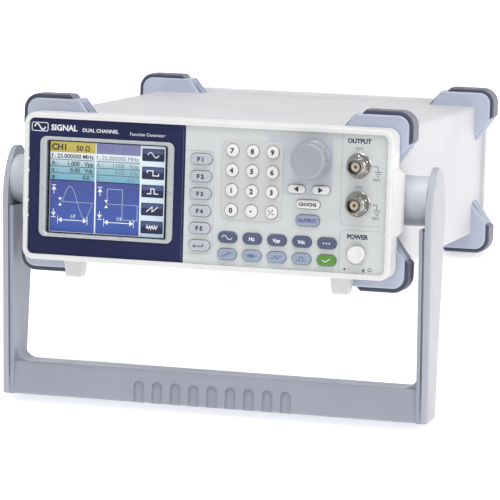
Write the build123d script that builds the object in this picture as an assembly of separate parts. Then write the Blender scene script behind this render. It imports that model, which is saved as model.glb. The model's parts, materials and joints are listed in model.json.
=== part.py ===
from build123d import *
import math
import os

# Bench function generator with a swinging carry handle that doubles as its stand.
# The instrument is drawn level: X to its right, Y from the front panel to the back, Z up,
# with Y = 0 on the face of the front panel. At the end the whole assembly is tilted back
# on its stand and moved so that it stands on Z = 0.

# ---- driving dimensions (mm) -------------------------------------------------------------
BEZEL_W, BEZEL_H, BEZEL_R = 226.0, 88.0, 6.5     # front moulding, outside
BEZEL_DEPTH = 15.0                               # front panel face to the back of the moulding
RIM_PROUD = 1.6                                  # rim stands in front of the panel
RIM_SIDE, RIM_TOP = 2.9, 3.2                     # rim widths
RIM_EDGE_R = 1.3                                 # rounding of the rim's front edges
OVERLAY_T = 0.8                                  # printed panel overlay
FLOOR_T = 2.5                                    # moulded floor behind the overlay
CABINET_STEP_W, CABINET_STEP_H = 4.9, 2.3        # front moulding stands out from the cabinet
CABINET_END = 268.0                              # back edge of the cover
COVER_LAP = 6.0                                  # cover tucked into the front moulding
SHEET_T = 1.0                                    # cover and tray sheet
CORNER_R = 2.5                                   # cover's long edges
FRAME_STEP, FRAME_T = 2.6, 12.0                  # rear frame: narrower than the front, and its depth
FRAME_RIM_SIDE, FRAME_RIM_TOP = 12.4, 10.0       # rear frame's rim widths
REAR_PLATE_T, SCREW_IN = 1.2, 5.0                # back plate; its screws from the frame's opening
FIT = 0.2                                        # clearance between assembled pieces
TRAY_WALL = 12.0                                 # height of the tray's side flanges
TRAY_SETBACK = 4.0                               # tray's own floor behind the cover's front edge
COVER_FOLD = 6.0                                 # cover's edge folded under the tray
SLOT_COUNT, SLOT_PITCH, SLOT_FIRST_Y = 9, 12.0, 110.0     # air slots in the tray, two rows
SLOT_X, SLOT_L, SLOT_W = 38.0, 50.0, 3.2

GUARD_OUT_W, GUARD_OUT_H = 9.7, 9.2              # corner guards stand out from the cabinet
GUARD_DEPTH = 18.0
GUARD_FRONT_GAP, GUARD_REAR_LEAD = 1.0, 26.7     # behind the moulding; ahead of the cover's end
GUARD_R = 7.0                                    # outside corner
GUARD_TOP_RUN, GUARD_SIDE_RUN = 32.5, 17.5       # flat run from the outer edge
GUARD_TOP_SLOPE, GUARD_SIDE_SLOPE = 6.5, 12.0    # ramp from the flat down to the cabinet
RUBBER_T = 2.6                                   # bumper strip on a guard
RUBBER_INSET = 1.2                               # strip set back from the guard's front face
RUBBER_DEPTH = 14.5
RUBBER_TOP_RUN, RUBBER_SIDE_RUN = 28.5, 17.0
RUBBER_CHAMFER = 2.2
RUBBER_TOOTH_W, RUBBER_TOOTH_DEEP, RUBBER_TEETH = 1.2, 0.8, 3
GUARD_EDGE_R = 1.2
STAND_EDGE_R = 1.6                               # rounding where strips and grip bar meet the table

PIVOT_Y, PIVOT_Z = 33.1, 0.5                     # handle axis
HUB_R = 14.8                                     # pivot hub
BOSS_R, BOSS_L = 9.0, 2.4                        # boss that turns in the arm's outer plate
PIVOT_GAP = 0.05                                 # radial running clearance
ARM_T, ARM_CLEAR = 7.2, 5.4                      # arm thickness, and its gap to the rubber strips
ARM_PLATE_T = 3.9                                # arm's outer plate, the part that reaches past the hub
PLATE_HALF_W, WIDEST_Z = 18.8, -10.0             # half depth of the plate where it is widest
CROWN_R, CROWN_TOP_Z = 12.5, 20.6                # small arc at its top
RIB_GAP = 0.5                                    # hub to the top of the arm's inner rib
BAR_FRONT_Y, BAR_REAR_Y = 25.0, 45.5             # grip bar
BAR_TOP_Z, BAR_BOTTOM_Z = -110.3, -130.7
BAR_EDGE_R, ARM_EDGE_R = 2.5, 1.6
HANDLE_FILLET = 9.0                              # inside corner of arm and bar
ARM_GROOVE_W, ARM_GROOVE_DEEP = 1.2, 1.6         # groove between the arm's plate and rib
GRIP_COUNT, GRIP_PITCH, GRIP_W, GRIP_DEEP = 9, 11.5, 6.6, 1.5
GRIP_TOP_DROP = 7.0                              # bar top to the tip of a grip flute
SWELL_OUT, SWELL_RAMP = 3.4, 12.0                # bezel side swelling at the hub, and its ramp's length
SWELL_FLAT, SWELL_FOOT = 16.5, 21.0              # half heights of the swelling
SWELL_BACK = 1.6                                 # swelling behind the moulding's back edge
FOOT_X, FOOT_Y, FOOT_TOP_W, FOOT_TIP_W, FOOT_D = 82.3, 9.0, 12.0, 9.5, 9.0
FOOT_BELOW = 1.1                                 # foot tip below the rubber strips

BODY_RISE = 0.4                                  # cabinet and guards sit this much higher
NAVY_RIGHT = -12.85                              # right edge of the dark display surround
PANEL_HALF_H = BEZEL_H / 2 - RIM_TOP
SHEET_SEAM = 0.15                                # dark plate to light overlay
SCREEN_X = -61.3
VIEW_W, VIEW_H = 75.5, 55.8                      # clear opening inside the display ring
RING_LIP_SIDE, RING_LIP_TOP, RING_R, RING_PROUD = 4.0, 2.1, 4.0, 1.2
RING_CHAMFER, SLEEVE_WALL = 0.8, 1.3
GLASS_LAP_SIDE, GLASS_LAP_TOP, GLASS_T = 5.25, 4.1, 1.2
MODULE_LAP_TOP, MODULE_T = 2.0, 6.4

KEY_GAP = 0.25                                   # key to its hole, all round
KEY_FLANGE, KEY_FLANGE_T = 1.2, 1.4              # retaining flange behind the floor
KEY_FREE = 0.2                                   # flange behind the floor, at rest
KEY_TRAVEL = 0.8
KEY_EDGE_R = 0.6
DIGIT_D, DIGIT_PROUD = 7.4, 2.2
DIGIT_X, DIGIT_PITCH_X = 16.44, 12.28
DIGIT_Z, DIGIT_PITCH_Z = 27.45, 11.75
DIGIT_ROWS = [["7", "8", "9"], ["4", "5", "6"], ["1", "2", "3"], ["0", "point", "sign"]]
PLATE_W, PLATE_H, PLATE_R, PLATE_T = 37.2, 46.6, 4.0, 0.6
PLATE_X, PLATE_Z = 28.6, 9.9
SOFT_W, SOFT_H, SOFT_PROUD = 13.2, 6.3, 1.9
SOFT_X, SOFT_Z, SOFT_PITCH = -2.73, 21.3, 10.22
SOFT_NAMES = ["soft_key_1", "soft_key_2", "soft_key_3", "soft_key_4", "soft_key_5", "return_key"]
MENU_W, MENU_H, MENU_PROUD = 11.5, 6.3, 1.7
MENU_X, MENU_PITCH = 14.56, 15.11
MENU_ROWS = [("menu_key_upper", -23.96), ("menu_key_lower", -33.96)]
MENU_COLUMNS = 5
ARROW_W, ARROW_H, ARROW_X, ARROW_Z, ARROW_PITCH = 10.5, 4.9, 55.7, 6.9, 14.8
WIDE_W, CHANNEL_H, OUTPUT_H = 14.3, 5.0, 6.4
WIDE_X, CHANNEL_Z, OUTPUT_Z = 62.9, -1.8, -11.3
POWER_X, POWER_Z, POWER_D, POWER_PROUD, POWER_WELL_D = 93.0, -29.2, 10.0, 4.2, 13.4
POWER_TRAVEL = 3.0

KNOB_X, KNOB_Z, KNOB_D, KNOB_L, KNOB_GAP = 64.7, 24.5, 23.0, 11.5, 0.7
KNOB_EDGE_R = 3.0
SHAFT_R, SHAFT_GAP, SHAFT_TIP = 3.0, 0.05, 9.2
BUSHING_R, ENCODER_W = 4.5, 13.0

MAT_T, BOARD_T = 2.0, 1.6
MAT_GAP = 0.2                                    # pressed key flange to the mat

BNC_X, BNC_Z = 92.8, [22.3, -0.1]
BNC_SHELL_R, BNC_NECK_R, BNC_BORE_R, BNC_L, BNC_NOSE_L = 4.83, 4.6, 4.05, 11.5, 3.0
BNC_WASHER_R, BNC_WASHER_T = 7.5, 1.1
BNC_NUT_R, BNC_NUT_T = 6.4, 2.0
BNC_THREAD_R, BNC_TAIL = 4.75, 12.0
BNC_LUG_R, BNC_LUG_OUT, BNC_LUG_BACK = 1.0, 0.75, 4.0
BNC_INSULATOR_R, BNC_CONTACT_R = 2.6, 0.9

REAR_BNC_X, REAR_BNC_Z = [12.0, 36.0], 12.0
USB_X, USB_Z, USB_W, USB_H, USB_WALL, USB_OUT = 24.0, -14.0, 12.0, 11.0, 0.9, 4.0
INLET_X, INLET_Z = 74.0, 0.0
INLET_W, INLET_H, INLET_BODY_W, INLET_BODY_H, INLET_DEPTH = 31.0, 24.0, 27.6, 20.4, 22.0
INLET_WELL_W, INLET_WELL_H, INLET_WELL_DEEP, INLET_FLANGE_T = 24.2, 16.4, 18.0, 2.6
FAN_X, FAN_SIZE, FAN_T, FAN_BORE_R, FAN_TIP_GAP = -58.0, 60.0, 15.0, 28.0, 1.2
FAN_HUB_R, FAN_BLADES, FAN_PIN_R, FAN_BAR = 12.0, 7, 2.0, 2.4
BLADE_PITCH, BLADE_T, BLADE_CHORD = 35.0, 1.2, 12.0

# ---- places worked out from the sizes ----------------------------------------------------
CABINET_W, CABINET_H = BEZEL_W - 2 * CABINET_STEP_W, BEZEL_H - 2 * CABINET_STEP_H
FRAME_W = BEZEL_W - 2 * FRAME_STEP
FRAME_OPENING_W, FRAME_OPENING_H = FRAME_W - 2 * FRAME_RIM_SIDE, BEZEL_H - 2 * FRAME_RIM_TOP
GUARD_W, GUARD_H = CABINET_W + 2 * GUARD_OUT_W, CABINET_H + 2 * GUARD_OUT_H
GUARD_FRONT_Y, GUARD_REAR_Y = BEZEL_DEPTH + GUARD_FRONT_GAP, CABINET_END - GUARD_REAR_LEAD
HANDLE_W = GUARD_W + 2 * (RUBBER_T + ARM_CLEAR + ARM_T)
RING_W, RING_H = VIEW_W + 2 * RING_LIP_SIDE, VIEW_H + 2 * RING_LIP_TOP
GLASS_W, GLASS_H = VIEW_W + 2 * GLASS_LAP_SIDE, VIEW_H + 2 * GLASS_LAP_TOP
FLOOR_BACK = OVERLAY_T + FLOOR_T
KEY_BACK = FLOOR_BACK + KEY_FREE + KEY_FLANGE_T
MAT_FRONT = KEY_BACK + KEY_TRAVEL + MAT_GAP
BOARD_FRONT = MAT_FRONT + MAT_T
COVER_FRONT = BEZEL_DEPTH - COVER_LAP
RIM_INSIDE_W = BEZEL_W - 2 * RIM_SIDE
CAB_TOP = BODY_RISE + CABINET_H / 2
CAB_BOTTOM = BODY_RISE - CABINET_H / 2
REAR_PLATE_Y = CABINET_END - REAR_PLATE_T
FRAME_END = CABINET_END + FRAME_T
GUARD_BOTTOM = BODY_RISE - GUARD_H / 2
RUBBER_BOTTOM = GUARD_BOTTOM - RUBBER_T
FOOT_TIP_Z = RUBBER_BOTTOM - FOOT_BELOW
RUBBER_BACK = GUARD_REAR_Y + RUBBER_INSET + RUBBER_DEPTH
ARM_INSIDE = HANDLE_W / 2 - ARM_T
PLATE_INSIDE = HANDLE_W / 2 - ARM_PLATE_T
STAND_TILT = math.degrees(math.atan2(RUBBER_BOTTOM - BAR_BOTTOM_Z, RUBBER_BACK - BAR_REAR_Y))

parts = {}


# ---- drawing helpers ---------------------------------------------------------------------
def slab(sketch, y0, y1):
    """A sketch drawn in X and Z, made solid from y0 back to y1."""
    return extrude(Plane.XZ.offset(-y1) * sketch, amount=y1 - y0)


def at(x, z, sketch):
    """Moves a sketch drawn in X and Z."""
    return Pos(x, z) * sketch


def rod(radius, x, z, y0, y1):
    """A round bar along Y."""
    return slab(at(x, z, Circle(radius)), y0, y1)


def block(x0, x1, y0, y1, z0, z1):
    """A box between two corners."""
    return Pos((x0 + x1) / 2, (y0 + y1) / 2, (z0 + z1) / 2) * Box(x1 - x0, y1 - y0, z1 - z0)


def rounded(width, height, radius):
    return RectangleRounded(width, height, radius)


def lowest_y_edges(shape):
    return shape.edges().group_by(Axis.Y)[0]


def add(name, *solids):
    """Stores a node: one solid or a group of separate solids."""
    parts[name] = Compound(children=[solid for piece in solids for solid in piece.solids()])


def box_screw(x, z, head_y, length):
    """Pan-head screw driven along -Y, with a cross slot; its shank ends length mm in."""
    head = rod(2.6, x, z, head_y, head_y + 1.6)
    slot = slab(at(x, z, Rectangle(3.0, 0.6) + Rectangle(0.6, 3.0)), head_y + 0.9, head_y + 1.7)
    return head - slot + rod(1.4, x, z, head_y - length, head_y)


# ---- keys --------------------------------------------------------------------------------
# Every key is (node, outline, x, z, height proud of the panel).
def key_list():
    keys = []
    for row, names in enumerate(DIGIT_ROWS):
        for column, name in enumerate(names):
            x = DIGIT_X + column * DIGIT_PITCH_X
            z = DIGIT_Z - row * DIGIT_PITCH_Z
            keys.append(("digit_key_" + name, (DIGIT_D, DIGIT_D), x, z, DIGIT_PROUD))
    for row, name in enumerate(SOFT_NAMES):
        keys.append((name, (SOFT_W, SOFT_H), SOFT_X, SOFT_Z - row * SOFT_PITCH, SOFT_PROUD))
    for name, z in MENU_ROWS:
        for column in range(MENU_COLUMNS):
            x = MENU_X + column * MENU_PITCH
            keys.append((f"{name}_{column + 1}", (MENU_W, MENU_H), x, z, MENU_PROUD))
    keys.append(("arrow_key_left", (ARROW_W, ARROW_H), ARROW_X, ARROW_Z, MENU_PROUD))
    keys.append(("arrow_key_right", (ARROW_W, ARROW_H), ARROW_X + ARROW_PITCH, ARROW_Z, MENU_PROUD))
    keys.append(("channel_key", (WIDE_W, CHANNEL_H), WIDE_X, CHANNEL_Z, MENU_PROUD))
    keys.append(("output_key", (WIDE_W, OUTPUT_H), WIDE_X, OUTPUT_Z, MENU_PROUD))
    return keys


def key_outline(size, grow=0.0):
    """A round key, or a long key with round ends, grown all round."""
    width, height = size[0] + 2 * grow, size[1] + 2 * grow
    return Circle(width / 2) if size[0] == size[1] else SlotOverall(width, height)


def key_solid(size, x, z, proud):
    cap = slab(at(x, z, key_outline(size)), -proud, FLOOR_BACK + KEY_FREE)
    cap = fillet(lowest_y_edges(cap), KEY_EDGE_R)
    return cap + slab(at(x, z, key_outline(size, KEY_FLANGE)), FLOOR_BACK + KEY_FREE, KEY_BACK)


KEYS = key_list()
key_holes = [at(x, z, key_outline(size, KEY_GAP)) for _, size, x, z, _ in KEYS]
for node, size, x, z, proud in KEYS:
    add(node, key_solid(size, x, z, proud))


def power_button():
    """Round push button on a square plunger, with a lip behind the floor."""
    cap = rod(POWER_D / 2, POWER_X, POWER_Z, -POWER_PROUD, FLOOR_BACK + KEY_FREE)
    cap = fillet(lowest_y_edges(cap), 1.0)
    return cap + rod(POWER_D / 2 + 1, POWER_X, POWER_Z, FLOOR_BACK + KEY_FREE, KEY_BACK)


add("power_button", power_button())


# ---- front moulding and panel ------------------------------------------------------------
SLEEVE_CLEAR = SLEEVE_WALL + FIT
SCREEN_HOLE = at(SCREEN_X, 0, Rectangle(VIEW_W + 2 * SLEEVE_CLEAR, VIEW_H + 2 * SLEEVE_CLEAR))


def swelling_outline():
    """The right-hand swelling beside the hub, in X and Z: a flat-topped hump."""
    foot, out = BEZEL_W / 2 - 1.0, BEZEL_W / 2 + SWELL_OUT
    corners = [(foot, -SWELL_FOOT), (out, -SWELL_FLAT), (out, SWELL_FLAT), (foot, SWELL_FOOT)]
    return make_face(Polyline(*[(x, PIVOT_Z + z) for x, z in corners], close=True))


def swelling_ramp():
    """Cutter that makes the right-hand swelling rise evenly from the moulding's front edge."""
    side, out = BEZEL_W / 2, BEZEL_W / 2 + SWELL_OUT
    front = -RIM_PROUD
    corners = [(side, front), (out, front + SWELL_RAMP), (out + 1, front + SWELL_RAMP),
               (out + 1, front - 1), (side, front - 1)]
    return extrude(make_face(Polyline(*corners, close=True)), amount=BEZEL_H, both=True)


def front_bezel():
    """Rim, floor with every hole, and the skirt that takes the cabinet's front edge."""
    shell = slab(rounded(BEZEL_W, BEZEL_H, BEZEL_R), -RIM_PROUD, BEZEL_DEPTH)
    shell = fillet(lowest_y_edges(shell), RIM_EDGE_R)
    swell = slab(swelling_outline(), -RIM_PROUD + RIM_EDGE_R, BEZEL_DEPTH + SWELL_BACK) - swelling_ramp()
    shell += swell + mirror(swell, about=Plane.YZ)
    recess = slab(rounded(RIM_INSIDE_W, 2 * PANEL_HALF_H, BEZEL_R - RIM_SIDE), -RIM_PROUD - 1, OVERLAY_T)
    inside = Rectangle(CABINET_W - 2 * RIM_SIDE, CABINET_H - 2 * RIM_SIDE)
    cavity = slab(inside, FLOOR_BACK, BEZEL_DEPTH + 2)
    lap = slab(at(0, BODY_RISE, rounded(CABINET_W + 2 * FIT, CABINET_H + 2 * FIT, CORNER_R + FIT)),
               COVER_FRONT, BEZEL_DEPTH + 2)
    shell = shell - recess - cavity - lap
    openings = [SCREEN_HOLE] + key_holes
    openings += [at(POWER_X, POWER_Z, Circle(POWER_D / 2 + KEY_GAP))]
    openings += [at(KNOB_X, KNOB_Z, Circle(BUSHING_R + FIT))]
    openings += [at(BNC_X, z, Circle(BNC_THREAD_R)) for z in BNC_Z]
    for opening in openings:
        shell -= slab(opening, -1, FLOOR_BACK + 1)
    return shell


def panel_sheet(left, right):
    """The part of the printed sheet that lies between two upright lines."""
    sheet = rounded(RIM_INSIDE_W - FIT, 2 * PANEL_HALF_H - FIT, BEZEL_R - RIM_SIDE)
    return slab(sheet & at((left + right) / 2, 0, Rectangle(right - left, BEZEL_H)), 0, OVERLAY_T)


def display_surround():
    """Dark printed plate round the screen."""
    return panel_sheet(-BEZEL_W / 2, NAVY_RIGHT) - slab(SCREEN_HOLE, -1, 2)


def panel_overlay():
    """Light printed overlay with the raised plate under the digit keys."""
    sheet = panel_sheet(NAVY_RIGHT + SHEET_SEAM, BEZEL_W / 2)
    raised = slab(at(PLATE_X, PLATE_Z, rounded(PLATE_W, PLATE_H, PLATE_R)), -PLATE_T, 0)
    sheet += fillet(lowest_y_edges(raised), 0.4)
    openings = key_holes + [at(POWER_X, POWER_Z, Circle(POWER_WELL_D / 2)),
                            at(KNOB_X, KNOB_Z, Circle(BUSHING_R + FIT))]
    openings += [at(BNC_X, z, Circle(BNC_THREAD_R)) for z in BNC_Z]
    for opening in openings:
        sheet -= slab(opening, -1, 2)
    return sheet


def display_ring():
    """Silver frame: a lip on the dark plate and a sleeve back to the glass."""
    lip = slab(rounded(RING_W, RING_H, RING_R), -RING_PROUD, 0)
    lip = fillet(lowest_y_edges(lip), 0.7)
    sleeve = slab(Rectangle(VIEW_W + 2 * SLEEVE_WALL, VIEW_H + 2 * SLEEVE_WALL), 0, FLOOR_BACK)
    ring = lip + sleeve - slab(rounded(VIEW_W, VIEW_H, 1.5), -5, 5)
    inner = [edge for edge in ring.edges().group_by(Axis.Y)[0]
             if abs(edge.center().X) < VIEW_W / 2 + 0.1 and abs(edge.center().Z) < VIEW_H / 2 + 0.1]
    return Pos(SCREEN_X, 0, 0) * chamfer(inner, RING_CHAMFER)


add("front_bezel", front_bezel())
add("display_surround", display_surround())
add("panel_overlay", panel_overlay())
add("display_ring", display_ring())
add("display_screen", slab(at(SCREEN_X, 0, Rectangle(GLASS_W, GLASS_H)), FLOOR_BACK, FLOOR_BACK + GLASS_T))


def display_module():
    """Metal-cased display behind the glass, with its flat cable tail."""
    front = FLOOR_BACK + GLASS_T
    back = front + MODULE_T
    case = slab(at(SCREEN_X, 0, rounded(GLASS_W, GLASS_H + 2 * MODULE_LAP_TOP, 1.5)), front, back)
    tail = block(SCREEN_X - 12, SCREEN_X + 12, back, back + 0.3, -20, 18)
    return case + tail


add("display_module", display_module())


# ---- knob and its encoder ----------------------------------------------------------------
def knob():
    """Domed control knob with shallow finger scallops and a bore for the shaft."""
    back = -KNOB_GAP
    front = back - KNOB_L
    body = rod(KNOB_D / 2, KNOB_X, KNOB_Z, front, back)
    body = fillet(lowest_y_edges(body), KNOB_EDGE_R)
    for index in range(12):
        angle = math.radians(30 * index)
        scallop_x = KNOB_X + (KNOB_D / 2 + 3.2) * math.cos(angle)
        scallop_z = KNOB_Z + (KNOB_D / 2 + 3.2) * math.sin(angle)
        body -= rod(3.7, scallop_x, scallop_z, front - 1, back - 2.0)
    body -= rod(SHAFT_R, KNOB_X, KNOB_Z, -SHAFT_TIP, back + 1)
    return body - rod(BUSHING_R + 0.8, KNOB_X, KNOB_Z, back - 2.0, back + 1)


def encoder_body():
    """Rotary encoder: case on the panel board and a bushing through the floor."""
    case = slab(at(KNOB_X, KNOB_Z, Rectangle(ENCODER_W, ENCODER_W)), FLOOR_BACK, BOARD_FRONT)
    bushing = rod(BUSHING_R, KNOB_X, KNOB_Z, -1.2, FLOOR_BACK)
    bore = rod(SHAFT_R + SHAFT_GAP, KNOB_X, KNOB_Z, -3, BOARD_FRONT - 1.5)
    return case + bushing - bore


add("knob", knob())
add("encoder_shaft", rod(SHAFT_R, KNOB_X, KNOB_Z, -SHAFT_TIP, BOARD_FRONT - 1.8))


# ---- panel electronics -------------------------------------------------------------------
MAT_LEFT, MAT_RIGHT, MAT_LOW, MAT_HIGH = -10.8, 81.5, -38.3, 35.0
BOARD_RIGHT = 103.5


def key_mat():
    """Rubber mat with a low dome behind each key."""
    mat = block(MAT_LEFT, MAT_RIGHT, MAT_FRONT + 0.6, BOARD_FRONT, MAT_LOW, MAT_HIGH)
    for _, size, x, z, _ in KEYS:
        mat += rod(min(size) / 2, x, z, MAT_FRONT, MAT_FRONT + 0.6)
    return mat - slab(at(KNOB_X, KNOB_Z, Rectangle(ENCODER_W + 1, ENCODER_W + 1)), 0, BOARD_FRONT + 1)


def panel_board():
    """Circuit board behind the keys, with the power switch's cut-out."""
    board = block(MAT_LEFT, BOARD_RIGHT, BOARD_FRONT, BOARD_FRONT + BOARD_T, MAT_LOW, MAT_HIGH + 3)
    board -= rod(POWER_D / 2 + 2, POWER_X, POWER_Z, 0, 20)
    for z in BNC_Z:
        board -= rod(BNC_NUT_R + 1.5, BNC_X, z, 0, 20)
    socket = block(20, 40, BOARD_FRONT + BOARD_T, BOARD_FRONT + BOARD_T + 6, -4, 2)
    return board + socket


def power_switch():
    """Latching switch behind the power button."""
    front = KEY_BACK + POWER_TRAVEL + MAT_GAP
    case = block(POWER_X - 7, POWER_X + 7, front + 6, front + 24, POWER_Z - 7, POWER_Z + 6)
    return case + rod(2.5, POWER_X, POWER_Z, front, front + 6)


add("key_mat", key_mat())
add("panel_board", panel_board(), encoder_body(), power_switch())


# ---- sockets -----------------------------------------------------------------------------
def bayonet_jack(x, z, panel_face):
    """Bayonet coaxial jack facing -Y: shell with two lugs, insulator and centre contact."""
    mouth = panel_face - BNC_L
    shell = rod(BNC_WASHER_R, x, z, panel_face - BNC_WASHER_T, panel_face)
    nut_back = panel_face - BNC_WASHER_T
    shell += slab(at(x, z, RegularPolygon(BNC_NUT_R, 6)), nut_back - BNC_NUT_T, nut_back)
    shell += rod(BNC_NECK_R, x, z, mouth, panel_face)
    shell += rod(BNC_SHELL_R, x, z, mouth, mouth + BNC_NOSE_L)
    shell += rod(BNC_THREAD_R, x, z, panel_face, panel_face + BNC_TAIL)
    lug_reach = BNC_SHELL_R + BNC_LUG_OUT
    shell += Pos(x, mouth + BNC_LUG_BACK, z) * Rot(0, 90, 0) * Cylinder(BNC_LUG_R, 2 * lug_reach)
    shell -= rod(BNC_BORE_R, x, z, mouth - 1, panel_face - 2)
    insulator = rod(BNC_INSULATOR_R, x, z, mouth + 2.2, panel_face - 2)
    insulator -= rod(BNC_CONTACT_R, x, z, mouth, panel_face)
    contact = rod(BNC_CONTACT_R, x, z, mouth + 1.6, panel_face - 2) - rod(0.45, x, z, mouth, mouth + 5)
    return [shell, insulator, contact]


def turned_round(pieces, face_y):
    """The same jack facing +Y on the back plate."""
    return [mirror(piece, about=Plane.XZ.offset(-face_y)) for piece in pieces]


def usb_socket():
    """Square data socket in a metal shell on the back plate."""
    outside = slab(at(USB_X, USB_Z, Rectangle(USB_W, USB_H)), REAR_PLATE_Y - 10, CABINET_END + USB_OUT)
    well = slab(at(USB_X, USB_Z, Rectangle(USB_W - 2 * USB_WALL, USB_H - 2 * USB_WALL)),
                REAR_PLATE_Y - 6, CABINET_END + USB_OUT + 1)
    tongue = slab(at(USB_X, USB_Z, Rectangle(5.6, 3.2)), REAR_PLATE_Y - 6, CABINET_END - 1)
    return outside - well + tongue


def ac_inlet():
    """Three-pin appliance inlet: flanged body, shaped well and three blades."""
    face = CABINET_END + INLET_FLANGE_T
    flange = slab(at(INLET_X, INLET_Z, rounded(INLET_W, INLET_H, 2.5)), CABINET_END, face)
    outside = at(INLET_X, INLET_Z, Rectangle(INLET_BODY_W, INLET_BODY_H))
    body = slab(outside, face - INLET_DEPTH, CABINET_END)
    half_w, half_h, cut = INLET_WELL_W / 2, INLET_WELL_H / 2, 4.5
    well = Polygon((-half_w, half_h - cut), (-half_w, -half_h), (half_w, -half_h),
                   (half_w, half_h - cut), (half_w - cut, half_h), (-half_w + cut, half_h), align=None)
    inlet = flange + body - slab(at(INLET_X, INLET_Z, well), face - INLET_WELL_DEEP, face + 1)
    for blade_x, blade_z in ((-7.0, -2.0), (0.0, 2.0), (7.0, -2.0)):
        inlet += slab(at(INLET_X + blade_x, INLET_Z + blade_z, Rectangle(2.0, 4.0)),
                      face - INLET_WELL_DEEP, face - INLET_WELL_DEEP + 8.0)
    return inlet


output_jacks = [piece for z in BNC_Z for piece in bayonet_jack(BNC_X, z, 0)]
rear_jacks = [piece for x in REAR_BNC_X
              for piece in turned_round(bayonet_jack(x, REAR_BNC_Z, -CABINET_END), 0)]
add("output_jacks", *output_jacks)
add("rear_sockets", *rear_jacks, usb_socket())
add("ac_inlet", ac_inlet())


# ---- cabinet -----------------------------------------------------------------------------
def cabinet_section(inset):
    """The cabinet's outline, set in all round."""
    corner_r = max(CORNER_R - inset, 0.6)
    return at(0, BODY_RISE, rounded(CABINET_W - 2 * inset, CABINET_H - 2 * inset, corner_r))


def hub_screw_hole(side):
    """Where the handle hub's stud goes through the cover."""
    return Pos(side * CABINET_W / 2, PIVOT_Y, PIVOT_Z) * Rot(0, 90, 0) * Cylinder(4.0, 12)


def top_cover():
    """Folded sheet: the top, both sides and their lower edges, open underneath."""
    tube = slab(cabinet_section(0), COVER_FRONT, CABINET_END)
    tube -= slab(cabinet_section(SHEET_T), 0, CABINET_END + 1)
    reach = CABINET_W / 2 - COVER_FOLD
    tube -= block(-reach, reach, 0, CABINET_END + 1, CAB_BOTTOM - 1, CAB_BOTTOM + 5)
    return tube - hub_screw_hole(-1) - hub_screw_hole(1)


def bottom_tray():
    """Tray that closes the cabinet from below, with air slots and low side flanges."""
    inset = SHEET_T + FIT
    tray = slab(cabinet_section(inset), COVER_FRONT + TRAY_SETBACK, REAR_PLATE_Y)
    tray -= slab(cabinet_section(inset + SHEET_T), 0, CABINET_END)
    tray -= block(-CABINET_W, CABINET_W, 0, CABINET_END, CAB_BOTTOM + inset + TRAY_WALL, CAB_TOP)
    reach = CABINET_W / 2 - COVER_FOLD - FIT
    tray += block(-reach, reach, COVER_FRONT, CABINET_END, CAB_BOTTOM, CAB_BOTTOM + inset)
    for side in (-1, 1):
        for index in range(SLOT_COUNT):
            y = SLOT_FIRST_Y + SLOT_PITCH * index
            tray -= Pos(side * SLOT_X, y, CAB_BOTTOM) * Box(SLOT_L, SLOT_W, 8)
    return tray


def rear_panel():
    """Steel back plate with a ring grille for the fan and cut-outs for the sockets."""
    plate = slab(cabinet_section(SHEET_T + FIT), REAR_PLATE_Y, CABINET_END)
    grille = Circle(FAN_BORE_R - 1)
    for radius in (22.0, 16.0, 10.0):
        grille -= Circle(radius) - Circle(radius - 1.8)
    grille -= Circle(5.0)
    grille -= Rectangle(2.2, 2 * FAN_BORE_R) + Rectangle(2 * FAN_BORE_R, 2.2)
    plate -= slab(at(FAN_X, BODY_RISE, grille), 0, CABINET_END + 1)
    for x in REAR_BNC_X:
        plate -= rod(BNC_THREAD_R, x, REAR_BNC_Z, REAR_PLATE_Y - 1, CABINET_END + 1)
    plate -= slab(at(USB_X, USB_Z, Rectangle(USB_W, USB_H)), REAR_PLATE_Y - 1, CABINET_END + 1)
    inlet_hole = at(INLET_X, INLET_Z, Rectangle(INLET_BODY_W, INLET_BODY_H))
    plate -= slab(inlet_hole, REAR_PLATE_Y - 1, CABINET_END + 1)
    for x, z in REAR_SCREWS:
        plate -= rod(1.4, x, z, REAR_PLATE_Y - 1, CABINET_END + 1)
    return plate


def rear_frame():
    """Moulded frame round the back edge."""
    outer = slab(at(0, 0, rounded(FRAME_W, BEZEL_H, BEZEL_R)), CABINET_END, FRAME_END)
    outer = fillet(outer.edges().group_by(Axis.Y)[-1], RIM_EDGE_R)
    return outer - slab(rounded(FRAME_OPENING_W, FRAME_OPENING_H, 5.0), 0, FRAME_END + 1)


REAR_SCREWS = [(side * (FRAME_OPENING_W / 2 - SCREW_IN), level * (FRAME_OPENING_H / 2 - SCREW_IN))
               for side in (-1, 1) for level in (-1, 1)]
add("top_cover", top_cover())
add("bottom_tray", bottom_tray())
add("rear_panel", rear_panel())
add("rear_frame", rear_frame())
add("rear_screws", *[box_screw(x, z, CABINET_END, 5.0) for x, z in REAR_SCREWS])


# ---- fan ---------------------------------------------------------------------------------
FAN_BACK = REAR_PLATE_Y
FAN_FRONT = FAN_BACK - FAN_T


def fan_frame():
    """Square fan housing with a motor plate on three struts and a fixed pin."""
    frame = slab(at(FAN_X, BODY_RISE, rounded(FAN_SIZE, FAN_SIZE, 3)), FAN_FRONT, FAN_BACK)
    frame -= rod(FAN_BORE_R, FAN_X, BODY_RISE, FAN_FRONT - 1, FAN_BACK + 1)
    frame += rod(FAN_HUB_R, FAN_X, BODY_RISE, FAN_FRONT, FAN_FRONT + FAN_BAR)
    for index in range(3):
        strut = Pos(FAN_X, (2 * FAN_FRONT + FAN_BAR) / 2, BODY_RISE) * Rot(0, 30 + 120 * index, 0)
        middle = Pos((FAN_HUB_R + FAN_BORE_R) / 2, 0, 0)
        frame += strut * middle * Box(FAN_BORE_R - FAN_HUB_R + 2, FAN_BAR, 3)
    return frame + rod(FAN_PIN_R, FAN_X, BODY_RISE, FAN_FRONT + FAN_BAR, FAN_BACK - 3)


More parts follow.
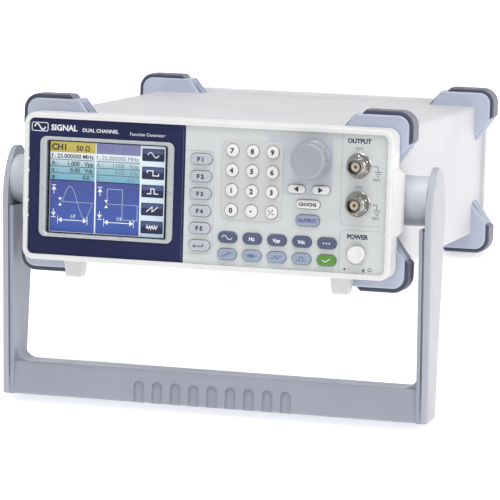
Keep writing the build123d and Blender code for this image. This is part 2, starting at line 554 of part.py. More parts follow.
def fan_rotor():
    """Hub with pitched blades, turning on the housing's pin."""
    front, back = FAN_FRONT + FAN_BAR + 0.5, FAN_BACK - 1.0
    rotor = rod(FAN_HUB_R, FAN_X, BODY_RISE, front, back)
    tip = FAN_BORE_R - FAN_TIP_GAP
    for index in range(FAN_BLADES):
        turn = Pos(FAN_X, (front + back) / 2, BODY_RISE) * Rot(0, 360 / FAN_BLADES * index, 0)
        pitched = turn * Pos((FAN_HUB_R + tip) / 2 - 0.5, 0, 0) * Rot(BLADE_PITCH, 0, 0)
        rotor += pitched * Box(tip - FAN_HUB_R + 1, BLADE_T, BLADE_CHORD)
    rotor = rotor & rod(tip, FAN_X, BODY_RISE, front, back)
    return rotor - rod(FAN_PIN_R + PIVOT_GAP, FAN_X, BODY_RISE, front - 1, FAN_BACK - 2.5)


add("fan_frame", fan_frame())
add("fan_rotor", fan_rotor())


# ---- boards inside -----------------------------------------------------------------------
TRAY_TOP = CAB_BOTTOM + 2 * SHEET_T + FIT
STANDOFF = 6.0


def board_on_posts(x0, x1, y0, y1):
    """A circuit board on four round posts."""
    low = TRAY_TOP + STANDOFF
    board = block(x0, x1, y0, y1, low, low + BOARD_T)
    for x in (x0 + 5, x1 - 5):
        for y in (y0 + 5, y1 - 5):
            board += Pos(x, y, TRAY_TOP + STANDOFF / 2) * Cylinder(3, STANDOFF)
    return board, low + BOARD_T


def main_board():
    """Signal board with its shield cans and a ribbed heat sink."""
    board, top = board_on_posts(-4, 96, 40, CABINET_END - 38)
    board += block(8, 48, 60, 100, top, top + 9)
    board += block(56, 90, 60, 90, top, top + 9)
    board += block(14, 34, 120, 140, top, top + 3)
    board += block(50, 86, 130, 170, top, top + 3)
    for fin in range(7):
        board += block(50 + 5.6 * fin, 52 + 5.6 * fin, 132, 168, top + 3, top + 20)
    return board


def power_supply():
    """Supply board with transformer, reservoir capacitors and a heat sink plate."""
    board, top = board_on_posts(-98, -16, 60, 180)
    board += block(-70, -36, 100, 134, top, top + 28)
    board += block(-94, -90, 70, 150, top, top + 30)
    for x, y in ((-76, 76), (-56, 76), (-36, 76), (-60, 160)):
        board += Pos(x, y, top + 12) * Cylinder(7, 24)
    return board


add("main_board", main_board())
add("power_supply", power_supply())


# ---- corner guards and their rubber strips -----------------------------------------------
def guard_profile():
    """Outline of the upper right guard in X and Z: flat runs, ramps and a round corner."""
    half_w, half_h = GUARD_W / 2, GUARD_H / 2
    cab_w, cab_h = CABINET_W / 2, CABINET_H / 2
    top_end, side_end = half_w - GUARD_TOP_RUN, half_h - GUARD_SIDE_RUN
    outline = Polyline((top_end - GUARD_TOP_SLOPE, cab_h), (top_end, half_h), (half_w - GUARD_R, half_h))
    corner = RadiusArc((half_w - GUARD_R, half_h), (half_w, half_h - GUARD_R), GUARD_R)
    side = Polyline((half_w, half_h - GUARD_R), (half_w, side_end), (cab_w, side_end - GUARD_SIDE_SLOPE),
                    (cab_w, cab_h - CORNER_R))
    inner = RadiusArc((cab_w, cab_h - CORNER_R), (cab_w - CORNER_R, cab_h), -CORNER_R)
    close = Line((cab_w - CORNER_R, cab_h), (top_end - GUARD_TOP_SLOPE, cab_h))
    return make_face(Curve() + [outline, corner, side, inner, close])


def rubber_profile():
    """Outline of the upper right rubber strip, round the outside of the guard."""
    half_w, half_h = GUARD_W / 2, GUARD_H / 2
    out_w, out_h, out_r = half_w + RUBBER_T, half_h + RUBBER_T, GUARD_R + RUBBER_T
    top_end, side_end = half_w - RUBBER_TOP_RUN, half_h - RUBBER_SIDE_RUN
    outline = Polyline((top_end, half_h), (top_end + RUBBER_CHAMFER, out_h), (half_w - GUARD_R, out_h))
    corner = RadiusArc((half_w - GUARD_R, out_h), (out_w, half_h - GUARD_R), out_r)
    side = Polyline((out_w, half_h - GUARD_R), (out_w, side_end + RUBBER_CHAMFER), (half_w, side_end),
                    (half_w, half_h - GUARD_R))
    inner = RadiusArc((half_w, half_h - GUARD_R), (half_w - GUARD_R, half_h), -GUARD_R)
    close = Line((half_w - GUARD_R, half_h), (top_end, half_h))
    return make_face(Curve() + [outline, corner, side, inner, close])


def guard():
    """One guard; its front and back outside edges are eased."""
    body = slab(guard_profile(), 0, GUARD_DEPTH)
    return fillet(outside_edges(body), GUARD_EDGE_R)


def outside_edges(body):
    """Front and back edges that stand clear of the cabinet's skin."""
    ends = body.edges().group_by(Axis.Y)
    clear_w, clear_h = CABINET_W / 2 + 0.5, CABINET_H / 2 + 0.5
    return [edge for edge in ends[0] + ends[-1]
            if abs(edge.center().X) > clear_w or abs(edge.center().Z) > clear_h]


def rubber():
    """One strip with shallow teeth across its ends."""
    strip = slab(rubber_profile(), 0, RUBBER_DEPTH)
    half_w, half_h = GUARD_W / 2, GUARD_H / 2
    ends = strip.edges().group_by(Axis.Y)
    strip = fillet([edge for edge in ends[0] + ends[-1] if edge.center().X > half_w + RUBBER_T / 2
                    or edge.center().Z > half_h + RUBBER_T / 2], STAND_EDGE_R)
    first = half_w - RUBBER_TOP_RUN + RUBBER_CHAMFER + 1.5
    for index in range(RUBBER_TEETH):
        x = first + 2 * RUBBER_TOOTH_W * index
        z = half_h + RUBBER_T
        tooth = Box(RUBBER_TOOTH_W, RUBBER_DEPTH - 5, 2 * RUBBER_TOOTH_DEEP)
        strip -= Pos(x, RUBBER_DEPTH / 2, z) * tooth
    return strip


def four_corners(shape):
    """The upper right shape and its three mirror images about the cabinet's middle."""
    left = mirror(shape, about=Plane.YZ)
    upper = [shape, left]
    lower = [mirror(piece, about=Plane.XY) for piece in upper]
    return [Pos(0, 0, BODY_RISE) * piece for piece in upper + lower]


guards = four_corners(guard())
rubbers = four_corners(rubber())
guard_faces = (GUARD_FRONT_Y, GUARD_REAR_Y)
add("corner_guards", *[Pos(0, y, 0) * piece for y in guard_faces for piece in guards])
add("bumper_strips", *[Pos(0, y + RUBBER_INSET, 0) * piece for y in guard_faces for piece in rubbers])


# ---- front feet --------------------------------------------------------------------------
def foot(side):
    """Tapered post under the front moulding."""
    top = -BEZEL_H / 2
    upper = Plane((side * FOOT_X, FOOT_Y, top)) * Rectangle(FOOT_TOP_W, FOOT_D)
    lower = Plane((side * FOOT_X, FOOT_Y, FOOT_TIP_Z)) * Rectangle(FOOT_TIP_W, FOOT_D - 1.5)
    post = loft([lower, upper])
    return fillet(post.edges().group_by(Axis.Z)[0], 1.0)


add("front_feet", foot(-1), foot(1))


# ---- handle ------------------------------------------------------------------------------
def pivot_hub(side):
    """Hub on the cabinet's side with the boss that the arm turns on, and its stud."""
    def along_x(radius, x0, x1):
        middle = side * (x0 + x1) / 2
        return Pos(middle, PIVOT_Y, PIVOT_Z) * Rot(0, 90, 0) * Cylinder(radius, x1 - x0)
    hub = along_x(HUB_R, CABINET_W / 2, PLATE_INSIDE - FIT)
    boss = along_x(BOSS_R, PLATE_INSIDE - FIT, PLATE_INSIDE + BOSS_L)
    stud = along_x(4.0, CABINET_W / 2 - 5.0, CABINET_W / 2)
    return hub + boss + stud


ARM_Y = (BAR_FRONT_Y + BAR_REAR_Y) / 2
BAR_HALF = (BAR_REAR_Y - BAR_FRONT_Y) / 2


def plate_side():
    """Top, middle and foot of the arc down a plate's side, as (out from the arm's middle, Z)."""
    rise = CROWN_TOP_Z - CROWN_R - WIDEST_Z
    side_r = (PLATE_HALF_W ** 2 + rise ** 2 - CROWN_R ** 2) / (2 * (PLATE_HALF_W - CROWN_R))
    centre = PLATE_HALF_W - side_r
    top_angle = math.atan2(rise, -centre)
    reach_y, reach_z = BAR_HALF - centre, BAR_BOTTOM_Z - WIDEST_Z
    foot_angle = math.atan2(reach_z, reach_y) + math.acos(side_r / math.hypot(reach_y, reach_z))
    angles = (top_angle, (top_angle + foot_angle) / 2, foot_angle)
    return [(centre + side_r * math.cos(a), WIDEST_Z + side_r * math.sin(a)) for a in angles]


def plate_outline():
    """Side view of an arm's plate in Y and Z: a pointed oval top, narrowing to the bar's depth."""
    rear = [(ARM_Y + out, z) for out, z in plate_side()]
    front = [(ARM_Y - out, z) for out, z in plate_side()]
    crown = ThreePointArc(front[0], (ARM_Y, CROWN_TOP_Z), rear[0])
    ends = Polyline(rear[2], (BAR_REAR_Y, BAR_BOTTOM_Z), (BAR_FRONT_Y, BAR_BOTTOM_Z), front[2])
    return make_face(Curve() + [crown, ThreePointArc(*rear), ends, ThreePointArc(*front)])


def rib_outline(inset):
    """Side view of an arm's inner rib: the plate's outline below the hub, set in all round."""
    top, foot = PIVOT_Z - HUB_R - RIB_GAP - inset, BAR_BOTTOM_Z + inset
    touch_out, touch_z = plate_side()[2]
    half_top = touch_out + (BAR_HALF - touch_out) * (touch_z - top) / (touch_z - BAR_BOTTOM_Z) - inset
    half_foot = BAR_HALF - inset
    return make_face(Polyline((ARM_Y - half_top, top), (ARM_Y - half_foot, foot), (ARM_Y + half_foot, foot),
                              (ARM_Y + half_top, top), close=True))


def across(sketch, x0, x1):
    """A sketch drawn in Y and Z, made solid from x0 to x1."""
    return extrude(Plane.YZ.offset(x0) * sketch, amount=x1 - x0)


def arm():
    """The right arm: outer plate with the boss's blind bore, and the rib inside it, set off by a groove."""
    outside = HANDLE_W / 2
    plate = across(plate_outline(), PLATE_INSIDE, outside)
    plate = fillet(plate.edges().group_by(Axis.X)[-1], ARM_EDGE_R)
    rib_outside = PLATE_INSIDE - ARM_GROOVE_W
    rib = across(rib_outline(0), ARM_INSIDE, rib_outside)
    rib += across(rib_outline(ARM_GROOVE_DEEP), rib_outside, PLATE_INSIDE)
    rib += block(ARM_INSIDE, PLATE_INSIDE, BAR_FRONT_Y, BAR_REAR_Y, BAR_BOTTOM_Z, BAR_TOP_Z)
    bore = Pos(PLATE_INSIDE + BOSS_L / 2, PIVOT_Y, PIVOT_Z) * Rot(0, 90, 0)
    return plate + rib - bore * Cylinder(BOSS_R + PIVOT_GAP, BOSS_L + 2 * FIT)


def gusset():
    """Hollow-cornered web between the bar and the right arm."""
    corner_x, r = ARM_INSIDE, HANDLE_FILLET
    corner = Polyline((corner_x - r, BAR_TOP_Z), (corner_x, BAR_TOP_Z), (corner_x, BAR_TOP_Z + r))
    hollow = RadiusArc((corner_x, BAR_TOP_Z + r), (corner_x - r, BAR_TOP_Z), r)
    return slab(make_face(Curve() + [corner, hollow]), BAR_FRONT_Y + BAR_EDGE_R, BAR_REAR_Y - BAR_EDGE_R)


def grip_flute(x):
    """Cutter for one flute: a round-topped slot that runs out of the bar's bottom."""
    tip = BAR_TOP_Z - GRIP_TOP_DROP - GRIP_W / 2
    run = Rectangle(GRIP_W, tip - BAR_BOTTOM_Z + 2)
    outline = at(x, tip, Circle(GRIP_W / 2)) + at(x, (tip + BAR_BOTTOM_Z - 2) / 2, run)
    return slab(outline, BAR_FRONT_Y - 1, BAR_FRONT_Y + GRIP_DEEP)


def handle():
    """Two arms and the grip bar in one moulding."""
    bar = block(-ARM_INSIDE, ARM_INSIDE, BAR_FRONT_Y, BAR_REAR_Y, BAR_BOTTOM_Z, BAR_TOP_Z)
    long_edges = bar.edges().filter_by(Axis.X).group_by(Axis.Z)
    bar = fillet(long_edges[-1], BAR_EDGE_R)
    bar = fillet(bar.edges().filter_by(Axis.X).group_by(Axis.Z)[0], STAND_EDGE_R)
    for index in range(GRIP_COUNT):
        bar -= grip_flute((index - (GRIP_COUNT - 1) / 2) * GRIP_PITCH)
    side = arm() + gusset()
    return bar + side + mirror(side, about=Plane.YZ)


add("handle_hubs", pivot_hub(-1), pivot_hub(1))
add("handle", handle())


# ---- stand it up and write every node ----------------------------------------------------
def standing(shape):
    return Rot(-STAND_TILT, 0, 0) * shape


standing_parts = {name: standing(shape) for name, shape in parts.items()}
all_solids = [solid for shape in standing_parts.values() for solid in shape.solids()]
bounds = Compound(children=all_solids).bounding_box()
shift = Pos(-(bounds.min.X + bounds.max.X) / 2, -(bounds.min.Y + bounds.max.Y) / 2, -bounds.min.Z)

os.makedirs("parts", exist_ok=True)
for name, shape in standing_parts.items():
    solids = (shift * shape).solids()
    export_step(solids[0] if len(solids) == 1 else Compound(children=solids), f"parts/{name}.step")
print(len(parts), "nodes, tilt", round(STAND_TILT, 3), "shift", shift.position, "box", bounds.size)
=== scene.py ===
import json
import math
import bmesh
import bpy
import numpy as np
from mathutils import Matrix, Vector


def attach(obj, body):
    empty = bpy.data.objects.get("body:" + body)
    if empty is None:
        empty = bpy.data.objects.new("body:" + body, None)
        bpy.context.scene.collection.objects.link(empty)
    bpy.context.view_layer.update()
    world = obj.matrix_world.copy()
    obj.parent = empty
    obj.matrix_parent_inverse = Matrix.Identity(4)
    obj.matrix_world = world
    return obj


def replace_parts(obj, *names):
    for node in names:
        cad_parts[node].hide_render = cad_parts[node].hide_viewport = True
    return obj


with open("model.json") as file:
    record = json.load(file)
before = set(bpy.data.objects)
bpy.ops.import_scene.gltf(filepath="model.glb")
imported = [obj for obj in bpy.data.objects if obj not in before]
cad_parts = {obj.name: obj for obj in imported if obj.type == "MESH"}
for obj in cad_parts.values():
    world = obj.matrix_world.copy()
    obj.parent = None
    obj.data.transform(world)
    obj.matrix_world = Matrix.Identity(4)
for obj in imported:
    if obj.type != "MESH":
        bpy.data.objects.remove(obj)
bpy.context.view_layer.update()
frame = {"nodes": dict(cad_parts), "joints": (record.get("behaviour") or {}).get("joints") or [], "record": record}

# ---- the instrument's own directions -----------------------------------------------------
# Shapes are worked out in millimetres in the level instrument's frame: X to its right,
# Y back from the front panel's face, Z up from the panel's middle. The frame's joints say
# how that leans and where it is.
MM = 0.001
NODES = frame["nodes"]
JOINTS = {joint["name"]: joint for joint in frame["joints"]}
RIGHT = np.array((1.0, 0.0, 0.0))
BACK = np.array(JOINTS["knob_turn"]["axis"], float)
UP = np.cross(RIGHT, BACK)
TURN = np.stack([RIGHT, BACK, UP], axis=1)
PIVOT_Y, PIVOT_Z = 33.1, 0.5  # the handle's axis
ORIGIN = np.array(JOINTS["handle_swing"]["pos_m"], float) - (BACK * PIVOT_Y + UP * PIVOT_Z) * MM
LEAN = math.atan2(-BACK[2], BACK[1])


def placed(points):
    """Instrument millimetres to frame metres: origin plus each coordinate along its direction."""
    return ORIGIN + np.asarray(points, float) @ TURN.T * MM


def level_points(node):
    """A CAD node's corner points in instrument millimetres."""
    mesh = NODES[node].data
    points = np.empty(len(mesh.vertices) * 3)
    mesh.vertices.foreach_get("co", points)
    return (points.reshape(-1, 3) - ORIGIN) @ TURN / MM


def level_box(node):
    """A CAD node's lowest and highest corners in instrument millimetres."""
    points = level_points(node)
    return points.min(axis=0), points.max(axis=0)


def front_box(node, reach):
    """The same corners for the part of a node that lies within a reach of its front."""
    points = level_points(node)
    points = points[points[:, 1] < points[:, 1].min() + reach]
    return points.min(axis=0), points.max(axis=0)


def middle(node):
    """Centre (x, z) of a CAD node and the depth of its front."""
    low, high = level_box(node)
    return (low[0] + high[0]) / 2, (low[2] + high[2]) / 2, low[1]


# ---- surfaces ----------------------------------------------------------------------------
SMOOTH_ANGLE = math.radians(35)
MERGE = 1e-6


def add_mesh(name, vertices, faces, material, body):
    """A mesh from instrument coordinates and index lists, riding on a body."""
    mesh = bpy.data.meshes.new(name)
    mesh.from_pydata(placed(vertices), [], faces)
    mesh.materials.append(MATERIALS[material])
    piece = bpy.data.objects.new(name, mesh)
    bpy.context.scene.collection.objects.link(piece)
    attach(piece, body)
    return piece


def close_up(piece):
    """Merges doubled points, points the faces outwards and shades smooth up to a set angle."""
    work = bmesh.new()
    work.from_mesh(piece.data)
    bmesh.ops.remove_doubles(work, verts=work.verts, dist=MERGE)
    bmesh.ops.recalc_face_normals(work, faces=work.faces)
    work.to_mesh(piece.data)
    work.free()
    piece.data.polygons.foreach_set("use_smooth", np.ones(len(piece.data.polygons), bool))
    piece.data.set_sharp_from_angle(angle=SMOOTH_ANGLE)


def ring_faces(rows, count):
    """Quads between rows of rings with count points each, then the two end rings filled."""
    row, column = np.meshgrid(np.arange(rows - 1), np.arange(count), indexing="ij")
    here, after = row * count + column, row * count + (column + 1) % count
    quads = np.stack([here, after, after + count, here + count], axis=-1).reshape(-1, 4)
    return quads.tolist() + [list(range(count)), list(range((rows - 1) * count, rows * count))]


def skin(name, stacks, material, body="instrument"):
    """One piece from stacks of rings: each stack is a closed surface through its rings in turn."""
    vertices, faces, start = [], [], 0
    for rings in stacks:
        rows, count, _ = rings.shape
        vertices.append(rings.reshape(-1, 3))
        faces += [[index + start for index in face] for face in ring_faces(rows, count)]
        start += rows * count
    piece = add_mesh(name, np.concatenate(vertices), faces, material, body)
    close_up(piece)
    return piece


def turned(profile, centre, count=72):
    """Rings of a profile of (radius, depth) turned about an axis along Y through centre (x, z)."""
    profile = np.asarray(profile, float)
    angle = np.linspace(0, 2 * np.pi, count, endpoint=False)
    radius, depth = profile[:, :1], profile[:, 1:] + 0 * angle
    return np.stack([centre[0] + radius * np.cos(angle), depth,
                     centre[1] + radius * np.sin(angle)], axis=-1)


def arc(centre, radius, start, end, count=7):
    """Points of a circle's arc from one angle to another, in degrees."""
    angle = np.radians(np.linspace(start, end, count))
    return np.stack([np.cos(angle), np.sin(angle)], axis=1) * radius + centre


def rounded_box(x0, x1, z0, z1, radius, steps=6):
    """Points round a box with quarter-circle corners, counterclockwise."""
    return np.concatenate([arc((x1 - radius, z1 - radius), radius, 0, 90, steps),
                           arc((x0 + radius, z1 - radius), radius, 90, 180, steps),
                           arc((x0 + radius, z0 + radius), radius, 180, 270, steps),
                           arc((x1 - radius, z0 + radius), radius, 270, 360, steps)])


# ---- flat marks: each shape is (points in x and z, faces) ---------------------------------
FILM_LIFT, FILM_SINK = 0.03, 0.03
CAPITAL = 0.70  # height of the typeface's capitals for a size of 1


def filled(path):
    """The area inside a closed path, as one face."""
    return np.asarray(path, float), [list(range(len(path)))]


def disc(x, z, radius):
    """A filled circle about (x, z)."""
    return filled(arc((x, z), radius, 0, 345, 24))


def stroke(path, width, closed=False):
    """A band of even width along a path: each point moved half a width to both sides along the
    mean normal of the runs that meet there, lengthened for the mitre."""
    path = np.asarray(path, float)
    runs = np.diff(np.vstack([path, path[:1]]) if closed else path, axis=0)
    runs /= np.linalg.norm(runs, axis=1, keepdims=True)
    before = np.roll(runs, 1, axis=0) if closed else np.vstack([runs[:1], runs])
    after = runs if closed else np.vstack([runs, runs[-1:]])
    normal = (before + after)[:, ::-1] * (-1, 1)
    normal /= np.linalg.norm(normal, axis=1, keepdims=True)
    mitre = np.clip((normal * after[:, ::-1] * (-1, 1)).sum(axis=1, keepdims=True), 0.5, 1.0)
    side = normal * width / 2 / mitre
    count = len(path)
    here = np.arange(count if closed else count - 1)
    there = (here + 1) % count
    faces = np.stack([here, there, there + count, here + count], axis=1)
    return np.concatenate([path - side, path + side]), faces.tolist()


def frame_line(x0, x1, z0, z1, radius, width):
    """A closed line round a box with rounded corners."""
    return stroke(rounded_box(x0, x1, z0, z1, radius), width, closed=True)


def lettering(text, x, z, height, align="CENTER", weight=0.0):
    """A line of type whose capitals are height tall, standing middle-high on (x, z)."""
    curve = bpy.data.curves.new("type", "FONT")
    curve.body, curve.align_x, curve.resolution_u, curve.offset = text, align, 3, weight
    holder = bpy.data.objects.new("type", curve)
    mesh = bpy.data.meshes.new_from_object(holder)
    points = np.empty(len(mesh.vertices) * 3)
    mesh.vertices.foreach_get("co", points)
    faces = [list(polygon.vertices) for polygon in mesh.polygons]
    bpy.data.objects.remove(holder)
    bpy.data.curves.remove(curve)
    bpy.data.meshes.remove(mesh)
    return points.reshape(-1, 3)[:, :2] * (height / CAPITAL) + (x, z - height / 2), faces


def moved(shapes, x, z):
    """Shapes shifted by (x, z)."""
    return [(points + (x, z), faces) for points, faces in shapes]


def film(name, shapes, material, face_y, body="instrument", facing=1):
    """A thin printed layer on a face at depth face_y; facing -1 is seen from behind."""
    vertices, faces, start = [], [], 0
    for points, shape_faces in shapes:
        depth = np.full((len(points), 1), face_y - facing * FILM_LIFT)
        vertices.append(np.hstack([points[:, :1] * facing, depth, points[:, 1:]]))
        faces += [[index + start for index in face] for face in shape_faces]
        start += len(points)
    piece = add_mesh(name, np.concatenate(vertices), faces, material, body)
    wall = piece.modifiers.new("ink", "SOLIDIFY")
    wall.thickness = (FILM_LIFT + FILM_SINK) * MM
    return piece


# ---- shader nodes ------------------------------------------------------------------------
# Where a material changes over one piece, in instrument millimetres.
# The handle grades into painted light from above between HUB_FOOT and its mirror, and carries painted side light
# beyond PLATE_INSIDE.
HUB_FOOT, PLATE_INSIDE, PLATE_FADE = -14.9, 129.0, 0.1
RING_FACE = 0.25  # depth of the display ring's flat front
KEYPAD_FROM, KEYPAD_FULL = -0.15, -0.25
FRONT_BUMPER, REAR_BUMPER = (17.6, 18.4), (242.5, 243.4)  # front edges fade into the outsides, lighter with scuffs and a painted sheen
BUMPER_SPLIT = (200.0, 200.4)  # between the front and the rear set
WHITE, BLACK = (1.0, 1.0, 1.0), (0.0, 0.0, 0.0)
TONE_CELLS, GLOSS_CELLS, LINE_CELLS, SPECK_CELLS = 22.0, 90.0, 160.0, 420.0  # in a metre


def feed(tree, socket, value):
    """Links another node's output to a socket, or sets a constant on it."""
    if isinstance(value, bpy.types.NodeSocket):
        tree.links.new(value, socket)
    else:
        socket.default_value = (*value, 1.0) if socket.type == "RGBA" else value


def add_node(tree, kind, setup=(), **inputs):
    """A new shader node: its settings first, then its sockets by name, with _ for a space."""
    node = tree.nodes.new("ShaderNode" + kind)
    for setting, value in setup:
        setattr(node, setting, value)
    for name, value in inputs.items():
        feed(tree, node.inputs[name.replace("_", " ")], value)
    return node


def on_surface(tree, **inputs):
    """Feeds sockets of the material's own shader."""
    for name, value in inputs.items():
        feed(tree, tree.nodes["Principled BSDF"].inputs[name.replace("_", " ")], value)


def new_material(name, color, roughness, **inputs):
    """A Principled material with its constant values set on its own sockets."""
    material = bpy.data.materials.new(name)
    material.use_nodes = True
    on_surface(material.node_tree, Base_Color=color, Roughness=roughness, **inputs)
    return material


def coordinates(tree, stretch=(1.0, 1.0, 1.0)):
    """Object coordinates turned and moved so that they follow the level instrument."""
    turned_origin = Matrix.Rotation(LEAN, 3, "X") @ Vector(ORIGIN)
    mapping = add_node(tree, "Mapping", Vector=add_node(tree, "TexCoord").outputs["Object"],
                       Rotation=(LEAN, 0.0, 0.0), Location=-turned_origin)
    scaled = add_node(tree, "VectorMath", [("operation", "MULTIPLY")])
    feed(tree, scaled.inputs[0], mapping.outputs["Vector"])
    feed(tree, scaled.inputs[1], stretch)
    return scaled.outputs["Vector"]


def noise(tree, vector, scale, detail=3.0, roughness=0.5):
    """Fractal noise between 0 and 1."""
    return add_node(tree, "TexNoise", Vector=vector, Scale=scale, Detail=detail,
                    Roughness=roughness).outputs["Fac"]


def ramp(tree, value, stops):
    """A colour ramp from (position, colour) stops."""
    node = add_node(tree, "ValToRGB", Fac=value)
    elements = node.color_ramp.elements
    while len(elements) < len(stops):
        elements.new(0.5)
    for element, (position, color) in zip(elements, stops):
        element.position = position
        element.color = (*color, 1.0)
    return node.outputs["Color"]


def along(tree, vector, axis, low, high):
    """0 to 1 as the instrument's own axis goes from low to high millimetres."""
    split = add_node(tree, "SeparateXYZ", Vector=vector)
    return add_node(tree, "MapRange", Value=split.outputs[axis], From_Min=low * MM,
                    From_Max=high * MM).outputs["Result"]


def mixed(tree, share, first, second):
    """A blend of two colours or colour outputs, by a share of the second."""
    return add_node(tree, "Mix", [("data_type", "RGBA")], Factor=share, A=first,
                    B=second).outputs["Result"]


def bump(tree, height, strength, distance):
    """Tilts the shading by a height between 0 and 1 times a distance in metres."""
    node = add_node(tree, "Bump", Strength=strength, Distance=distance, Height=height)
    on_surface(tree, Normal=node.outputs["Normal"])


def toned(color, amount):
    """A colour made lighter, or darker for a negative amount."""
    return tuple(min(1.0, max(0.0, c * (1 + amount))) for c in color)


def moulded(name, color, roughness, grain=0.0005, strength=0.25, mottle=0.03, **sockets):
    """Moulded or painted surface: faint tone variation, uneven gloss and a fine grain."""
    material = new_material(name, color, roughness, **sockets)
    tree = material.node_tree
    vector = coordinates(tree)
    tones = [(0.35, toned(color, -mottle)), (0.65, toned(color, mottle))]
    gloss = [(0.3, (roughness - 0.05,) * 3), (0.7, (roughness + 0.05,) * 3)]
    on_surface(tree, Base_Color=ramp(tree, noise(tree, vector, TONE_CELLS), tones),
               Roughness=ramp(tree, noise(tree, vector, GLOSS_CELLS), gloss))
    bump(tree, noise(tree, vector, 1.0 / grain, 2.0), strength, grain * 0.12)
    return material


def recolored(material, share, color):
    """Mixes a second colour over a material's own by a share between 0 and 1."""
    tree = material.node_tree
    socket = tree.nodes["Principled BSDF"].inputs["Base Color"]
    tree.links.new(mixed(tree, share, socket.links[0].from_socket, color), socket)
    return material


def combined(tree, operation, first, second):
    """A sum, product or other operation on two values."""
    node = add_node(tree, "Math", [("operation", operation)])
    for socket, value in zip(node.inputs, (first, second)):
        feed(tree, socket, value)
    return node.outputs["Value"]


def handle_moulding(name, color, plate, hub):
    """Moulded plastic with painted light: paler on each arm's outer plate face, as painted side light, and grading
    paler from the foot of the hubs to their top and above, as painted light from above.
    """
    material = moulded(name, color, 0.36, strength=0.18)
    tree = material.node_tree
    vector = coordinates(tree)
    right, left = (along(tree, vector, "X", side * PLATE_INSIDE, side * (PLATE_INSIDE + PLATE_FADE))
                   for side in (1, -1))
    side_light_share = combined(tree, "MAXIMUM", right, left)
    # painted light from above: the handle grows paler up the hubs
    recolored(material, along(tree, vector, "Z", HUB_FOOT, -HUB_FOOT), hub)
    # painted side light: paler on the arms' outer plate faces
    return recolored(material, side_light_share, plate)


def ring_metal(name, face, inner):
    """Satin trim that falls into shade from its front face to the foot of its inner slope."""
    material = moulded(name, face, 0.28, strength=0.0, mottle=0.01, Metallic=0.2)
    tree = material.node_tree
    face = level_box("display_ring")[0][1] + RING_FACE
    foot = level_box("display_screen")[0][1]
    return recolored(material, along(tree, coordinates(tree), "Y", face, foot), inner)


def panel_moulding(name, color, raised):
    """Printed panel whose raised keypad plate has its own tone."""
    material = moulded(name, color, 0.5, grain=0.0003, strength=0.12)
    tree = material.node_tree
    plate = along(tree, coordinates(tree), "Y", KEYPAD_FROM, KEYPAD_FULL)
    return recolored(material, plate, raised)


def worn_and_sheen_rubber(name, face, wear_and_sheen):
    """Dark rubber whose outside is lighter behind its front edges, in fine specks: partly scuffs, partly a painted
    sheen standing in for light caught on the outsides.
    """
    material = new_material(name, face, 0.62)
    tree = material.node_tree
    vector = coordinates(tree)
    specks = ramp(tree, noise(tree, vector, SPECK_CELLS, 4.0, 0.65), [(0.42, BLACK), (0.62, WHITE)])
    scuffed_and_sheen = mixed(tree, specks, toned(wear_and_sheen, -0.22), toned(wear_and_sheen, 0.12))
    front, rear, split = (along(tree, vector, "Y", *span)
                          for span in (FRONT_BUMPER, REAR_BUMPER, BUMPER_SPLIT))
    outside = mixed(tree, split, front, rear)
    # scuffs mixed with painted sheen: the outsides lighter than the front faces
    on_surface(tree, Base_Color=mixed(tree, outside, face, scuffed_and_sheen))
    bump(tree, noise(tree, vector, 900.0, 2.0), 0.4, 0.0001)
    return material


def graded(name, stops, low, high):
    """Lit display colour that grades between two heights, with a faint pattern of cells."""
    material = new_material(name, stops[0][1], 0.3, Emission_Strength=LIT_GLOW,
                            Specular_IOR_Level=0.15)
    tree = material.node_tree
    vector = coordinates(tree)
    color = ramp(tree, along(tree, vector, "Z", low, high), stops)
    cells = add_node(tree, "TexChecker", Vector=vector, Scale=LIT_CELLS)
    share = combined(tree, "MULTIPLY", cells.outputs["Fac"], LIT_CELL_SHARE)
    lit = mixed(tree, share, color, WHITE)
    on_surface(tree, Base_Color=lit, Emission_Color=lit)
    return material


def brushed(name, color, roughness):
    """Plated or drawn metal with fine lines one way and slightly uneven gloss."""
    material = new_material(name, color, roughness, Metallic=1.0)
    tree = material.node_tree
    lines = noise(tree, coordinates(tree, (1.0, 1.0, 60.0)), LINE_CELLS, 4.0, 0.6)
    tones = [(0.3, toned(color, -0.10)), (0.7, toned(color, 0.08))]
    gloss = [(0.3, (roughness - 0.06,) * 3), (0.7, (roughness + 0.08,) * 3)]
    on_surface(tree, Base_Color=ramp(tree, lines, tones), Roughness=ramp(tree, lines, gloss))
    bump(tree, lines, 0.12, 0.00003)
    return material


def circuit_board(name):
    """Green solder mask over tracks: a brick pattern of raised lines, and tinned pads."""
    green, track, pad = (0.012, 0.10, 0.04), (0.025, 0.17, 0.07), (0.5, 0.48, 0.42)
    material = new_material(name, green, 0.35)
    tree = material.node_tree
    vector = coordinates(tree)
    tracks = add_node(tree, "TexBrick", Vector=vector, Scale=180.0, Mortar_Size=0.08)
    cells = add_node(tree, "TexVoronoi", Vector=vector, Scale=260.0)
    pads = ramp(tree, cells.outputs["Distance"], [(0.12, WHITE), (0.16, BLACK)])
    mask = mixed(tree, tracks.outputs["Fac"], green, track)
    on_surface(tree, Base_Color=mixed(tree, pads, mask, pad))
    bump(tree, tracks.outputs["Fac"], 0.3, 0.00004)
    return material


MATERIALS = {}


def made(kind, name, *values, **options):
    """Makes a material of one of the kinds above and files it under its name."""
    MATERIALS[name] = kind(name, *values, **options)


